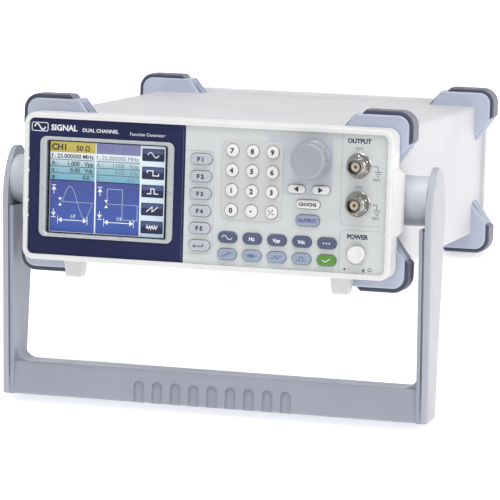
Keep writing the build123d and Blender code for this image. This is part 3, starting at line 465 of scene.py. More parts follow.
made(moulded, "white_moulding", (0.73, 0.73, 0.73), 0.42)
made(panel_moulding, "panel_print", (0.60, 0.625, 0.63), (0.575, 0.57, 0.565))
made(moulded, "navy_print", (0.018, 0.022, 0.075), 0.34, strength=0.04, mottle=0.10,
     Specular_IOR_Level=0.22)
made(ring_metal, "silver_trim", (0.50, 0.52, 0.54), (0.075, 0.085, 0.12))
made(moulded, "screen_face", (0.010, 0.011, 0.022), 0.12, strength=0.0)
made(brushed, "module_metal", (0.55, 0.55, 0.55), 0.35)
made(moulded, "key_white", (0.74, 0.74, 0.73), 0.38, grain=0.0003)
made(moulded, "key_lavender", (0.46, 0.48, 0.53), 0.42, grain=0.0003)
made(moulded, "key_slate", (0.088, 0.105, 0.185), 0.40, grain=0.0003, Specular_IOR_Level=0.35)
made(moulded, "key_blue", (0.29, 0.35, 0.45), 0.42, grain=0.0003)
made(moulded, "key_green", (0.10, 0.27, 0.05), 0.40, grain=0.0003, Specular_IOR_Level=0.35)
made(moulded, "knob_lavender", (0.345, 0.35, 0.405), 0.24, grain=0.0003)
made(moulded, "grey_rubber", (0.25, 0.25, 0.27), 0.8)
made(circuit_board, "board")
made(moulded, "cover_paint", (0.60, 0.60, 0.625), 0.48, grain=0.0011, strength=0.35)
made(moulded, "back_paint", (0.60, 0.60, 0.60), 0.48, grain=0.0011, strength=0.35)
made(moulded, "guard_plastic", (0.44, 0.48, 0.585), 0.36, strength=0.15)
# bumper_rubber's second colour is scuffs and a painted sheen on the outsides
made(worn_and_sheen_rubber, "bumper_rubber", (0.050, 0.056, 0.095), (0.22, 0.22, 0.27))
# handle_plastic's second colour is painted side light on the arms' outer faces, its third painted light from above
# up the hubs
made(handle_moulding, "handle_plastic", (0.325, 0.34, 0.41), (0.41, 0.42, 0.485),
     (0.64, 0.645, 0.71))
made(moulded, "arm_inlay", (0.39, 0.395, 0.43), 0.34, strength=0.15)
made(moulded, "foot_plastic", (0.66, 0.66, 0.67), 0.42)
made(moulded, "plated_metal", (0.50, 0.485, 0.47), 0.19, strength=0.0, mottle=0.02, Metallic=1.0)
made(brushed, "gold", (0.70, 0.52, 0.26), 0.25)
made(moulded, "cream_insulator", (0.72, 0.66, 0.56), 0.4, strength=0.1)
made(brushed, "steel", (0.55, 0.55, 0.55), 0.30)
made(moulded, "black_plastic", (0.014, 0.014, 0.016), 0.42)
# painted shade: the dark grey laid round the key openings
made(moulded, "gap_shade", (0.17, 0.17, 0.19), 0.6, strength=0.05)
for ink, color in (("ink_dark", (0.018, 0.020, 0.036)), ("ink_slate", (0.035, 0.040, 0.085)),
                   ("ink_grey", (0.40, 0.42, 0.43)), ("ink_blue", (0.06, 0.075, 0.25))):
    made(moulded, ink, color, 0.5, strength=0.05)
made(moulded, "ink_white", (0.80, 0.80, 0.82), 0.45, strength=0.05)
made(moulded, "patch_print", (0.525, 0.545, 0.605), 0.5, strength=0.08)
made(brushed, "label_foil", (0.62, 0.62, 0.64), 0.4)


def finish_cad_nodes():
    """Every CAD node takes the material named by its slot in the record."""
    for row in frame["record"]["subparts"]:
        mesh = NODES[row["node"]].data
        mesh.materials.clear()
        mesh.materials.append(MATERIALS[row["material_slot"]])


finish_cad_nodes()


# ---- display -----------------------------------------------------------------------------
# The lit area and what is laid out in it, in instrument millimetres.
LIT_LEFT, LIT_RIGHT, LIT_TOP, LIT_BOTTOM = -97.9, -26.0, 26.9, -27.3
HALF_W, RIGHT_HALF = 28.3, -68.9
HEADER_FOOT, ROWS_FOOT = 20.6, 4.1
ROW_EDGES = (16.2, 12.1, 8.1)
COLUMN_LEFT, TAB_H, TAB_PITCH, TAB_TOP = -41.0, 7.5, 10.75, 25.4
HALF_GAP, TAB_INSET, BASELINE = 0.9, 0.6, -9.0
TRACE_W, LINE_W, EDGE_W = 0.34, 0.42, 0.3
LAYER = 0.05  # from one printed layer to the next
LIT_DIM, LIT_GLOW = -0.3, 0.14
LIT_CELLS, LIT_CELL_SHARE = 4000.0, 0.06


def block(x0, x1, z0, z1):
    """A filled box."""
    return filled([(x0, z0), (x1, z0), (x1, z1), (x0, z1)])


def wave(kind, width, height):
    """A waveform or a sign as a path about (0, 0): the sine, the noise (a product of two sines)
    and the burst (a sine swelling with a squared sine) are worked out along time, the others
    run through their corners."""
    if kind == "sine":
        t = np.linspace(0, 1, 33)
        return np.stack([(t - 0.5) * width, height / 2 * np.sin(2 * np.pi * t)], axis=1)
    if kind == "noise":
        t = np.linspace(0, 1, 22)
        jagged = np.sin(47 * t) * np.cos(19 * t + 1.0)
        return np.stack([(t - 0.5) * width, height / 2 * jagged], axis=1)
    if kind == "burst":
        t = np.linspace(0, 1, 61)
        swell = np.sin(np.pi * t) ** 2
        return np.stack([(t - 0.5) * width, height / 2 * swell * np.sin(10 * np.pi * t)], axis=1)
    corners = {
        "square": [(0, 0), (0, 1), (0.5, 1), (0.5, -1), (1, -1), (1, 0)],
        "pulse": [(0, -1), (0.35, -1), (0.35, 1), (0.65, 1), (0.65, -1), (1, -1)],
        "ramp": [(0, -1), (0.5, 1), (0.5, -1), (1, 1)],
        "steps": [(0, -1), (0.25, -1), (0.25, -0.3), (0.5, -0.3), (0.5, 0.3), (0.75, 0.3),
                  (0.75, 1), (1, 1)],
        "tick": [(0.1, 0.1), (0.4, -0.9), (0.95, 1)],
        "back": [(0.95, 1), (0.95, -0.3), (0.05, -0.3)],
    }[kind]
    return (np.array(corners, float) - (0.5, 0)) * (width, height / 2)


def arrow_head(x, z, turn, size):
    """A triangle pointing along turn degrees, its tip on (x, z)."""
    angle = math.radians(turn)
    ahead = np.array((math.cos(angle), math.sin(angle))) * size
    side = np.array((-math.sin(angle), math.cos(angle))) * size * 0.6
    tip = np.array((x, z))
    return filled([tip, tip - ahead + side, tip - ahead - side])


def reading_rows(x, faint):
    """Type of the four readings of one channel."""
    weight, height = 0.0 if faint else 0.015, 2.5
    rows = [("f", "25.000000 MHz", 18.4), ("A", "1.000   Vpp", 14.1), ("±", "0.00   Vdc", 10.1),
            ("φ", "0.0 °", 6.1)]
    names = [lettering(name + " :", x + 0.9, z, height, "LEFT", weight) for name, _, z in rows]
    return names + [lettering(text, x + HALF_W - 1.0, z, height, "RIGHT", weight)
                    for _, text, z in rows]


def dimension_marks(x):
    """Height and period arrows beside a trace, measured from the half's left edge."""
    marks = []
    up_x, serif = x + 2.7, 1.4
    upper, lower = (-4.5, 0.2, 0.4, 0.8, 90), (-13.5, -17.8, -18.0, -18.4, 270)
    for foot, head, tip, end, turn in (upper, lower):
        marks += [stroke([(up_x, foot), (up_x, head)], LINE_W), arrow_head(up_x, tip, turn, 2.4),
                  stroke([(up_x - serif, end), (up_x + serif, end)], LINE_W)]
    marks += [arrow_head(x + 6.7, -8.4, 270, 1.8), arrow_head(x + 6.7, -9.6, 90, 1.8)]
    left, right, z, reach = x + 5.4, x + 24.0, -19.9, 2.4
    centre = (left + right) / 2
    for end, turn in ((left, 180), (right, 0)):
        marks += [stroke([(end, z - reach), (end, z + reach)], LINE_W * 0.8),
                  arrow_head(end, z, turn, 2.6), stroke([(end, z), (centre, z)], LINE_W)]
    return marks + [lettering("1/f", centre, z + reach, 2.2)]


def lit_colors():
    """Each lit colour's lowest and highest place, and its tones from the one to the other."""
    white, dark = (1.1, 1.15, 1.2), (0.01, 0.015, 0.03)
    trace, tab = (0.42, 0.55, 0.72), (0.008, 0.012, 0.07)
    header, whole = (HEADER_FOOT, LIT_TOP), (LIT_BOTTOM, LIT_TOP)
    return {
        "lit_header_left": (header, (0.66, 0.52, 0.09), (0.90, 0.76, 0.18)),
        "lit_header_right": (header, (0.28, 0.30, 0.60), (0.33, 0.34, 0.66)),
        "lit_rows": ((ROWS_FOOT, HEADER_FOOT), (0.19, 0.50, 0.66), (0.36, 0.62, 0.70), white),
        "lit_field": ((LIT_BOTTOM, ROWS_FOOT), (0.050, 0.125, 0.52), (0.060, 0.085, 0.36)),
        "lit_column": (whole, (0.72, 0.92, 1.05), (0.95, 1.08, 1.18)),
        "lit_white": (whole, white, white),
        "lit_dark": (whole, dark, dark),
        "lit_faint": (whole, (0.16, 0.19, 0.30), (0.24, 0.26, 0.36)),
        "lit_trace": (whole, trace, trace),
        "lit_tab": (whole, tab, tab),
        "lit_tab_shine": (whole, (0.06, 0.085, 0.25), (0.10, 0.13, 0.30)),
    }


def display():
    """The lit picture: two channel halves, each with header, readings and trace, and five tabs."""
    for name, ((low, high), *tones) in lit_colors().items():
        places = np.linspace(0, 1, len(tones))
        stops = [(place, toned(tone, LIT_DIM)) for place, tone in zip(places, tones)]
        made(graded, name, stops, low, high)
    under = level_box("display_screen")[0][1]
    over, top, above = under - LAYER, under - 2 * LAYER, under - 3 * LAYER

    def lit(name, shapes, material, depth):
        film(name, shapes, material, depth)
    halves = (LIT_LEFT, RIGHT_HALF)
    short_w = HALF_W - HALF_GAP
    ends = (LIT_LEFT + HALF_W, RIGHT_HALF + short_w)
    headers = [[block(x, end, HEADER_FOOT, LIT_TOP)] for x, end in zip(halves, ends)]
    lit("display_divider", [block(LIT_LEFT, COLUMN_LEFT, LIT_BOTTOM, LIT_TOP)], "lit_white", under)
    lit("display_column", [block(COLUMN_LEFT, LIT_RIGHT, LIT_BOTTOM, LIT_TOP)], "lit_column", under)
    lit("display_header_left", headers[0], "lit_header_left", over)
    lit("display_header_right", headers[1], "lit_header_right", over)
    rows = [block(x, end, ROWS_FOOT, HEADER_FOOT) for x, end in zip(halves, ends)]
    lit("display_rows", rows, "lit_rows", over)
    fields = [block(x + 0.2, end, LIT_BOTTOM + 0.3, ROWS_FOOT - 0.4)
              for x, end in zip(halves, ends)]
    lit("display_fields", fields, "lit_field", over)
    dark = [stroke([(x, z), (x + short_w, z)], EDGE_W) for x in halves for z in ROW_EDGES]
    dark += [stroke([(x, ROWS_FOOT - 0.2), (x + short_w, ROWS_FOOT - 0.2)], 0.5) for x in halves]
    dark += [lettering("CH1", LIT_LEFT + 5.8, 23.7, 3.6, weight=0.03),
             lettering("50 Ω", LIT_LEFT + 20.6, 23.3, 3.0, weight=0.02)]
    lit("display_dark_type", dark + reading_rows(LIT_LEFT, False), "lit_dark", top)
    faint = [lettering("CH2", RIGHT_HALF + 5.8, 23.7, 3.6),
             lettering("50 Ω", RIGHT_HALF + 20.0, 23.3, 3.0)]
    lit("display_faint_type", faint + reading_rows(RIGHT_HALF - HALF_GAP, True), "lit_faint", top)
    traces = [stroke([(x + 7.4, BASELINE), (x + short_w, BASELINE)], TRACE_W) for x in halves]
    for kind, height, width, x in (("sine", 18.8, TRACE_W, LIT_LEFT + 17.6),
                                   ("square", 18.0, TRACE_W * 1.3, RIGHT_HALF + 16.7)):
        traces += moved([stroke(wave(kind, 19.0, height), width)], x, BASELINE)
    lit("display_traces", traces, "lit_trace", top)
    marks = dimension_marks(LIT_LEFT) + dimension_marks(RIGHT_HALF)
    lit("display_marks", marks, "lit_white", top)
    tabs, shines, icons = [], [], []
    left, right, inner = COLUMN_LEFT + TAB_INSET, LIT_RIGHT - TAB_INSET, 0.4
    for index, kind in enumerate(("sine", "square", "pulse", "ramp", "noise")):
        high = TAB_TOP - TAB_PITCH * index
        tabs.append(filled(rounded_box(left, right, high - TAB_H, high, 0.7)))
        shines.append(filled(rounded_box(left + inner, right - inner, high - TAB_H * 0.42,
                                         high - inner, 0.6)))
        icons += moved([stroke(wave(kind, 7.0, 3.0), 0.55)], (left + right) / 2, high - TAB_H / 2)
    lit("display_tabs", tabs, "lit_tab", over)
    lit("display_tab_shines", shines, "lit_tab_shine", top)
    lit("display_tab_icons", icons, "lit_white", above)


display()


# ---- printing on the panel ---------------------------------------------------------------
PANEL_FACE, SIGN_W, RULE_W = 0.0, 0.35, 0.32
RULE_LEFT, RULE_RIGHT, RULE_END = 82.4, 106.4, 40.6  # the two brackets round jacks and button


def earth_sign(x, z):
    """Lead from the shell down to three shortening bars."""
    middle_x, drop = x + 3.1, z - 3.2
    shapes = []
    for step, half in enumerate((2.2, 1.4, 0.7)):
        level = drop - 1.25 * step
        shapes.append(stroke([(middle_x - half, level), (middle_x + half, level)], SIGN_W))
    return shapes + [stroke([(x, z), (x + 2.9, z), (x + 2.9, drop)], SIGN_W)]


def panel_printing():
    """Headings, outlines and signs on the light panel and the dark surround."""
    def printed(name, shapes, material, slot="panel_print"):
        film(name, shapes, material, PANEL_FACE)
    printed("knob_patch", [filled(rounded_box(37.6, 77.1, 3.2, 37.8, 2.6))], "patch_print")
    key_bracket = [(-12.7, 26.0), (2.6, 26.0), (4.4, 25.3), (5.2, 23.6),
                   (5.2, -32.4), (4.4, -34.0), (2.6, -34.7), (-12.7, -34.7)]
    outlines = [stroke(key_bracket, EDGE_W)]
    for way, foot in ((1, -12.6), (-1, -15.6)):
        bend = [(RULE_LEFT, RULE_END * way), (RULE_LEFT, foot + 3.0 * way),
                (RULE_LEFT + 0.9, foot + 0.8 * way), (RULE_LEFT + 3.2, foot), (RULE_RIGHT, foot)]
        outlines.append(stroke(bend[::way], RULE_W))
    printed("panel_outlines", outlines, "ink_grey")
    headings = [lettering("OUTPUT", 92.5, 36.7, 2.5, weight=0.05),
                lettering("POWER", 93.0, -19.2, 2.5, weight=0.05)]
    printed("panel_headings", headings, "ink_slate")
    signs = [lettering("CH1", 92.7, 32.3, 1.7), lettering("CH2", 92.8, 9.9, 1.7)]
    for z in (22.3, -0.1):
        signs += earth_sign(101.2, z) + [lettering("50Ω", 103.4, z - 7.7, 1.7)]
    printed("panel_signs", signs, "ink_slate")
    switch = [arrow_head(85.9, -37.4, 90, 1.5), lettering("I", 88.7, -38.1, 1.9),
              arrow_head(97.2, -37.4, 90, 1.5), stroke([(96.2, -39.4), (98.2, -39.4)], 0.4),
              stroke(arc((101.0, -38.2), 1.0, 0, 345, 24), TRACE_W, closed=True)]
    printed("power_signs", switch, "ink_dark")
    edge = [stroke([(-14.1, 39.8), (-14.1, -39.8)], SIGN_W)]
    printed("surround_edge", edge, "key_slate", "navy_print")
    title = moved([stroke(wave("sine", 7.0, 3.4), 0.75)], -103.6, 35.4)
    title += [frame_line(-108.6, -98.6, 32.9, 37.9, 1.0, 0.45),
              lettering("SIGNAL", -96.6, 35.4, 3.4, "LEFT", 0.03),
              lettering("DUAL CHANNEL", -77.0, 34.6, 2.1, "LEFT", 0.02),
              lettering("Function Generator", -47.4, 33.8, 1.9, "LEFT")]
    printed("surround_title", title, "ink_white", "navy_print")


panel_printing()


# ---- legends on the keys -----------------------------------------------------------------
def legend(node, shapes, material, slot):
    """Printing on a key's face, which travels with the key."""
    x, z, face = middle(node)
    film(node + "_legend", moved(shapes, x, z), material, face, body=node)


def typed(text, height, weight):
    """A legend of type in the middle of a key."""
    return [lettering(text, 0, 0, height, weight=weight)]


def key_legends():
    """What stands on each key: digits, numbers, units, arrows and waveforms."""
    for digit in "0123456789":
        legend("digit_key_" + digit, typed(digit, 2.8, 0.05), "ink_dark", "key_white")
    legend("digit_key_point", [disc(0, 0, 0.6)], "ink_dark", "key_white")
    sign = [lettering("+", -1.3, 0.9, 1.5, weight=0.03), stroke([(-1.5, -1.7), (1.4, 1.8)], 0.36),
            stroke([(0.5, -1.1), (2.1, -1.1)], 0.36)]
    legend("digit_key_sign", sign, "ink_dark", "key_white")
    for number in range(1, 6):
        legend(f"soft_key_{number}", typed(f"F {number}", 2.4, 0.06), "ink_slate", "key_lavender")
    back = [stroke(wave("back", 5.6, 2.6), 0.5), arrow_head(-3.9, -0.39, 180, 1.6)]
    legend("return_key", back, "ink_slate", "key_lavender")
    upper = [[stroke(wave("sine", 6.4, 2.4), 0.42)], typed("Hz", 2.1, 0.04),
             typed("Vpp", 2.0, 0.04), typed("Vdc", 2.0, 0.04),
             [disc(x, 0, 0.45) for x in (-1.8, 0, 1.8)]]
    lower = [[stroke(wave(kind, 6.0, 2.2), 0.4)]
             for kind in ("steps", "burst", "ramp", "pulse", "tick")]
    lower_looks = [("ink_blue", "key_blue")] * 4 + [("ink_white", "key_green")]
    for number, (first, second, look) in enumerate(zip(upper, lower, lower_looks), start=1):
        legend(f"menu_key_upper_{number}", first, "ink_white", "key_slate")
        legend(f"menu_key_lower_{number}", second, *look)
    for side, way, turn in (("left", -1, 180), ("right", 1, 0)):
        legend("arrow_key_" + side, [arrow_head(1.5 * way, 0, turn, 2.9)], "ink_dark", "key_white")
    legend("channel_key", typed("CH1/CH2", 1.8, 0.05), "ink_dark", "key_white")
    legend("output_key", typed("OUTPUT", 2.0, 0.04), "ink_blue", "key_blue")


key_legends()


# ---- key caps ----------------------------------------------------------------------------
KEY_REACH, KEY_FOOT, CAP_EDGE = 1.5, 1.5, 0.95
# GAP_OUT and GAP_W place the line of painted shade round each key opening
GAP_OUT, GAP_W, DIGIT_PLATE_T = 0.22, 0.34, 0.6
ROUND_SLACK = 0.01  # keeps a full round's corners apart


def key_outline(node, grow=0.0):
    """A key's box in X and Z, grown all round, and the radius that rounds its ends fully."""
    low, high = front_box(node, KEY_REACH)
    x0, x1, z0, z1 = low[0] - grow, high[0] + grow, low[2] - grow, high[2] + grow
    return (x0, x1, z0, z1), min(x1 - x0, z1 - z0) / 2 - ROUND_SLACK


def key_cap(node):
    """Rings of a key's outline drawn in by a quarter circle towards its flat face; a round key
    is the same outline with its corner radius equal to half its width."""
    (x0, x1, z0, z1), radius = key_outline(node)
    front = level_box(node)[0][1]
    lean = np.linspace(0, np.pi / 2, 7)
    rows = [(0.0, KEY_FOOT)]
    rows += zip(CAP_EDGE * (1 - np.cos(lean)), front + CAP_EDGE * (1 - np.sin(lean)))
    return np.stack([np.insert(rounded_box(x0 + inset, x1 - inset, z0 + inset, z1 - inset,
                                           radius - inset), 1, depth, axis=1)
                     for inset, depth in rows])


def key_gap_shade(node):
    """A line of painted shade round a key's outline, where the shadow of its opening falls."""
    box, radius = key_outline(node, GAP_OUT)
    return frame_line(*box, radius, GAP_W)


def key_caps():
    """Softly rounded caps in place of the plain keys, and a line of painted shade round each opening."""
    gap_shades = {"digit": [], "panel": []}
    for row in frame["record"]["subparts"]:
        node = row["node"]
        if "_key" in node:
            slot = row["material_slot"]
            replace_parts(skin(node + "_cap", [key_cap(node)], slot, node), node)
            gap_shades["digit" if node.startswith("digit") else "panel"].append(key_gap_shade(node))
    # films of painted shade round the openings, on the keypad plate and on the panel
    film("digit_key_gap_shades", gap_shades["digit"], "gap_shade", -DIGIT_PLATE_T)
    film("panel_key_gap_shades", gap_shades["panel"], "gap_shade", PANEL_FACE)


key_caps()


# ---- knob and power button ---------------------------------------------------------------
SCALLOPS, SCALLOP_DEPTH, KNOB_POINTS = 14, 0.06, 224


def knob():
    """Turned profile whose side has finger scallops: the radius loses a depth times the square
    of (1 + cos 14a) / 2 along the side and fades to a plain round crown. The face is dished by
    a parabola."""
    low, high = level_box("knob")
    x, z, front = middle("knob")
    full, back = (high[0] - low[0]) / 2, high[1]
    radius, shoulder, dish = full - 0.6, 1.9, 0.6
    face_r = radius - 0.5 - shoulder
    rows = [(0, back, 0), (full - 0.5, back, 0), (full, back - 0.3, 0), (full, back - 1.3, 0),
            (full - 0.3, back - 1.6, 0), (radius, back - 1.8, 0), (radius, back - 2.3, 1),
            (radius - 0.35, front + 4.6, 1), (radius - 0.45, front + 3.6, 0.45),
            (radius - 0.5, front + 2.9, 0)]
    rows += [(r, y, 0) for r, y in arc((face_r, front + shoulder), shoulder, 0, -90, 9)]
    rows += [(r, front + dish * (1 - (r / face_r) ** 2), 0) for r in np.linspace(face_r, 0, 14)[1:]]
    rows = np.array(rows)
    rings = turned(rows[:, :2], (0, 0), KNOB_POINTS)
    angle = np.linspace(0, 2 * np.pi, KNOB_POINTS, endpoint=False)
    scallop = ((1 + np.cos(SCALLOPS * angle)) / 2) ** 2
    rings[..., (0, 2)] *= (1 - rows[:, 2:] * SCALLOP_DEPTH * scallop)[..., None]
    piece = skin("knob_cap", [rings + (x, 0, z)], "knob_lavender", "knob")
    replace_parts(piece, "knob")


def power_cap():
    """Turned cap with a rounded rim and a face hollowed by a parabola, and a lip behind."""
    low, high = level_box("power_button")
    x, z, front = middle("power_button")
    lip_r = (high[0] - low[0]) / 2
    radius, rim, hollow = lip_r - 1.0, 0.9, 0.7
    face_r, back, lip = radius - rim, high[1], high[1] - 1.4
    profile = [(0, back), (lip_r, back), (lip_r, lip), (radius, lip)]
    profile += list(arc((face_r, front + rim), rim, 0, -90, 8))
    profile += [(r, front + hollow * (1 - (r / face_r) ** 2))
                for r in np.linspace(face_r, 0, 10)[1:]]
    piece = skin("power_cap", [turned(profile, (x, z))], "key_white", "power_button")
    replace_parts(piece, "power_button")


knob()
power_cap()


# ---- sockets -----------------------------------------------------------------------------
# Each is drawn about (0, 0), with depths below zero standing out of the face it is in.
BARREL_R, THREAD_R, THREAD_DEPTH, THREAD_PITCH = 4.83, 4.55, 0.16, 0.75
BORE_R, BORE_FLOOR, MOUTH, TAIL = 4.05, -2.0, -11.5, 12.0
NUT_FLAT, NUT_BACK, NUT_FRONT, THREAD_END = 5.54, -1.1, -3.1, -7.6
LUG_R, LUG_BACK = 0.95, 4.0
DATA_X, DATA_Z, REAR_JACKS, REAR_JACK_Z = 24.0, -14.0, (12.0, 36.0), 12.0


def jack_shell():
    """Stacks of rings for a jack's metal: washer, six-sided nut, threaded barrel and two lugs.
    The thread is a cosine of depth on the radius; the nut's radius is its flat divided by the
    cosine of the angle from the nearest flat, cut back by a cone at both ends."""
    washer = [(0, 0.0), (7.2, 0.0), (7.5, -0.3), (7.5, -0.8), (7.2, NUT_BACK), (0, NUT_BACK)]
    angle = np.linspace(0, 2 * np.pi, 72, endpoint=False)
    flat = NUT_FLAT / np.cos((angle + np.pi / 6) % (np.pi / 3) - np.pi / 6)
    cone = np.array([(5.7, NUT_BACK), (6.6, NUT_BACK - 0.4), (6.6, NUT_FRONT + 0.4),
                     (5.7, NUT_FRONT)])
    radius, depth = np.minimum(flat, cone[:, :1]), cone[:, 1:] + 0 * angle
    nut = np.stack([radius * np.cos(angle), depth, radius * np.sin(angle)], axis=-1)
    thread_y = np.linspace(NUT_FRONT, THREAD_END, 37)
    thread_r = THREAD_R + THREAD_DEPTH * np.cos(2 * np.pi * (thread_y - NUT_FRONT) / THREAD_PITCH)
    barrel = [(0, TAIL), (4.6, TAIL), (4.6, NUT_FRONT)] + list(zip(thread_r, thread_y))
    barrel += [(4.5, -7.9), (4.5, MOUTH + 3.0), (BARREL_R, MOUTH + 2.8), (BARREL_R, MOUTH + 0.25),
               (BARREL_R - 0.2, MOUTH), (BORE_R + 0.15, MOUTH), (BORE_R, MOUTH + 0.2),
               (BORE_R, BORE_FLOOR), (0, BORE_FLOOR)]
    stacks = [turned(washer, (0, 0)), nut, turned(barrel, (0, 0))]
    lug = np.array([(0, 3.9), (LUG_R, 3.9), (LUG_R, 5.35), (LUG_R - 0.2, 5.58), (0, 5.58)])
    across, out = lug[:, :1], lug[:, 1:]
    around = np.linspace(0, 2 * np.pi, 24, endpoint=False)
    for side in (-1, 1):
        stacks.append(np.stack([side * out + 0 * around, MOUTH + LUG_BACK + across * np.cos(around),
                                across * np.sin(around)], axis=-1))
    return stacks


def jack_insulator():
    """Stepped insulator round the centre contact."""
    profile = [(0, BORE_FLOOR), (3.3, BORE_FLOOR), (3.3, -6.5), (2.6, -6.7), (2.6, -9.1),
               (2.4, -9.3), (1.1, -9.3), (0.95, -9.1), (0.95, -3.0), (0, -3.0)]
    return [turned(profile, (0, 0), 48)]


def jack_contact():
    """Tube with a rounded lip."""
    profile = [(0, BORE_FLOOR), (0.9, BORE_FLOOR), (0.9, -9.7), (0.75, -9.9), (0.5, -9.9),
               (0.45, -9.7), (0.45, -4.0), (0, -4.0)]
    return [turned(profile, (0, 0), 32)]


def set_in(stacks, spots):
    """Copies of stacks at each spot (x, z, face, facing); facing -1 looks back."""
    return [stack * (1, facing, 1) + (x, face, z)
            for x, z, face, facing in spots for stack in stacks]


def data_socket(face):
    """Square socket: a walled shell round a stepped well with a contact tongue."""
    def box_rings(rows):
        return np.stack([np.insert(rounded_box(DATA_X - w, DATA_X + w, DATA_Z - h, DATA_Z + h, r),
                                   1, face + y, axis=1) for w, h, r, y in rows])
    shell = box_rings([(6.0, 5.5, 0.8, -8.0), (6.0, 5.5, 0.8, 3.8), (5.8, 5.3, 0.7, 4.0),
                       (5.2, 4.7, 0.6, 4.0), (5.1, 4.6, 0.5, 3.8), (5.1, 4.6, 0.5, -6.0)])
    tongue = box_rings([(2.8, 1.6, 0.3, -6.5), (2.8, 1.6, 0.3, -1.2), (2.6, 1.4, 0.2, -1.0)])
    return shell, tongue


def sockets():
    """Both sets of jacks, front and rear, and the data socket, in place of the plain nodes."""
    low, high = level_box("output_jacks")
    x, reach = (low[0] + high[0]) / 2, (high[0] - low[0]) / 2
    front = [(x, high[2] - reach, PANEL_FACE, 1), (x, low[2] + reach, PANEL_FACE, 1)]
    back_face = level_box("top_cover")[1][1]
    rear = [(x, REAR_JACK_Z, back_face, -1) for x in REAR_JACKS]
    for side, spots, node in (("output", front, "output_jacks"), ("rear", rear, "rear_sockets")):
        slot = "plated_metal"
        shells = skin(side + "_jack_shells", set_in(jack_shell(), spots), slot)
        skin(side + "_jack_insulators", set_in(jack_insulator(), spots), "cream_insulator")
        skin(side + "_jack_contacts", set_in(jack_contact(), spots), "gold")
        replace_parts(shells, node)
    shell, tongue = data_socket(back_face)
    skin("data_socket_shell", [shell], "steel")
    skin("data_socket_tongue", [tongue], "black_plastic")


sockets()


# ---- guards, arms and moulding: small raised shapes ---------------------------------------
GUARD_D, COVER_STEP = 18.0, 9.2  # a guard's depth, and from its top down to the cover
RAMP_TOP, RAMP_SIDE = (32.5, 40.6), (17.5, 31.0)  # each ramp's ends, in from the guard's corner
RIB_FIRST, RIB_PITCH, RIB_W, RIB_H, RIB_SINK = 4.5, 4.4, 2.0, 0.9, 0.3
INLAY_Y, INLAY_HALF, INLAY_RISE, INLAY_WIDEST = 35.25, 18.8, 30.6, -10.0
INLAY_FOOT_HALF, INLAY_FOOT = 10.25, -130.7
INLAY_RIM = ((2.0, -0.2), (2.0, 0.005), (2.2, 0.02))  # (in from the arm's edge, out of its face)
CREASE_X, CREASE_Z, CREASE_SINK = (109.4, 111.1), (16.5, 9.5, -8.5, -17.5), 0.25
CREASE_W, CREASE_H = 1.6, 0.22


def rib(start, end, across, out, width, height):
    """Half-oval bar from start to end, its width along one direction and its height along
    another, sunk a little way back."""
    angle = np.linspace(0, np.pi, 9)
    section = np.cos(angle)[:, None] * across * width / 2 + np.sin(angle)[:, None] * out * height
    sunk = section - out * RIB_SINK
    return np.stack([np.asarray(start) + sunk, np.asarray(end) + sunk])


def guard_ribs():
    """Three ribs down each ramp of every corner guard."""
    low, high = level_box("corner_guards")
    cover_low, cover_high = level_box("top_cover")
    rise = (low[2] + high[2]) / 2
    half_w, half_h = (high[0] - low[0]) / 2, (high[2] - low[2]) / 2
    cover_w, cover_h = (cover_high[0] - cover_low[0]) / 2, half_h - COVER_STEP
    ramps = [((half_w - RAMP_TOP[0], half_h), (half_w - RAMP_TOP[1], cover_h)),
             ((half_w, half_h - RAMP_SIDE[0]), (cover_w, half_h - RAMP_SIDE[1]))]
    bars = []
    for (x0, z0), (x1, z1) in ramps:
        run = np.array((x1 - x0, 0.0, z1 - z0))
        run /= np.linalg.norm(run)
        out = np.array((run[2], 0.0, -run[0]))
        out *= np.sign(out[0] + out[2])
        for step in range(3):
            y = RIB_FIRST + RIB_PITCH * step
            bars.append(rib((x0, y, z0), (x1, y, z1), np.array((0.0, 1.0, 0.0)), out, RIB_W, RIB_H))
    stacks = [(bar + (0, front, 0)) * (side, 1, level) + (0, 0, rise)
              for front in (low[1], high[1] - GUARD_D)
              for side in (-1, 1) for level in (-1, 1) for bar in bars]
    skin("guard_ribs", stacks, "guard_plastic")


def arm_inlays():
    """Pale plate let into each arm's outer face: half an oval above its widest place and an even
    taper below it, set in from the arm's edge, with a bevelled rim."""
    face = level_box("handle")[1][0]
    angle = np.radians(np.linspace(0, 180, 33))
    rings = []
    for inset, out in INLAY_RIM:
        crown = np.stack([INLAY_Y + (INLAY_HALF - inset) * np.cos(angle),
                          INLAY_WIDEST + (INLAY_RISE - inset) * np.sin(angle)], axis=1)
        base = [(INLAY_Y + side * (INLAY_FOOT_HALF - inset), INLAY_FOOT + inset)
                for side in (-1, 1)]
        rings.append(np.insert(np.vstack([crown, base]), 0, face + out, axis=1))
    stacks = [np.stack(rings) * (side, 1, 1) for side in (-1, 1)]
    skin("arm_inlays", stacks, "arm_inlay", "handle")


def rim_creases():
    """Low raised bars across the front moulding's rim, above and below each hub."""
    y = level_box("front_bezel")[0][1] + CREASE_SINK
    stacks = [rib((side * CREASE_X[0], y, z - 0.4), (side * CREASE_X[1], y, z + 0.2),
                  np.array((0.0, 0.0, 1.0)), np.array((0.0, -1.0, 0.0)), CREASE_W, CREASE_H)
              for side in (-1, 1) for z in CREASE_Z]
    skin("rim_creases", stacks, "white_moulding")


guard_ribs()
arm_inlays()
rim_creases()


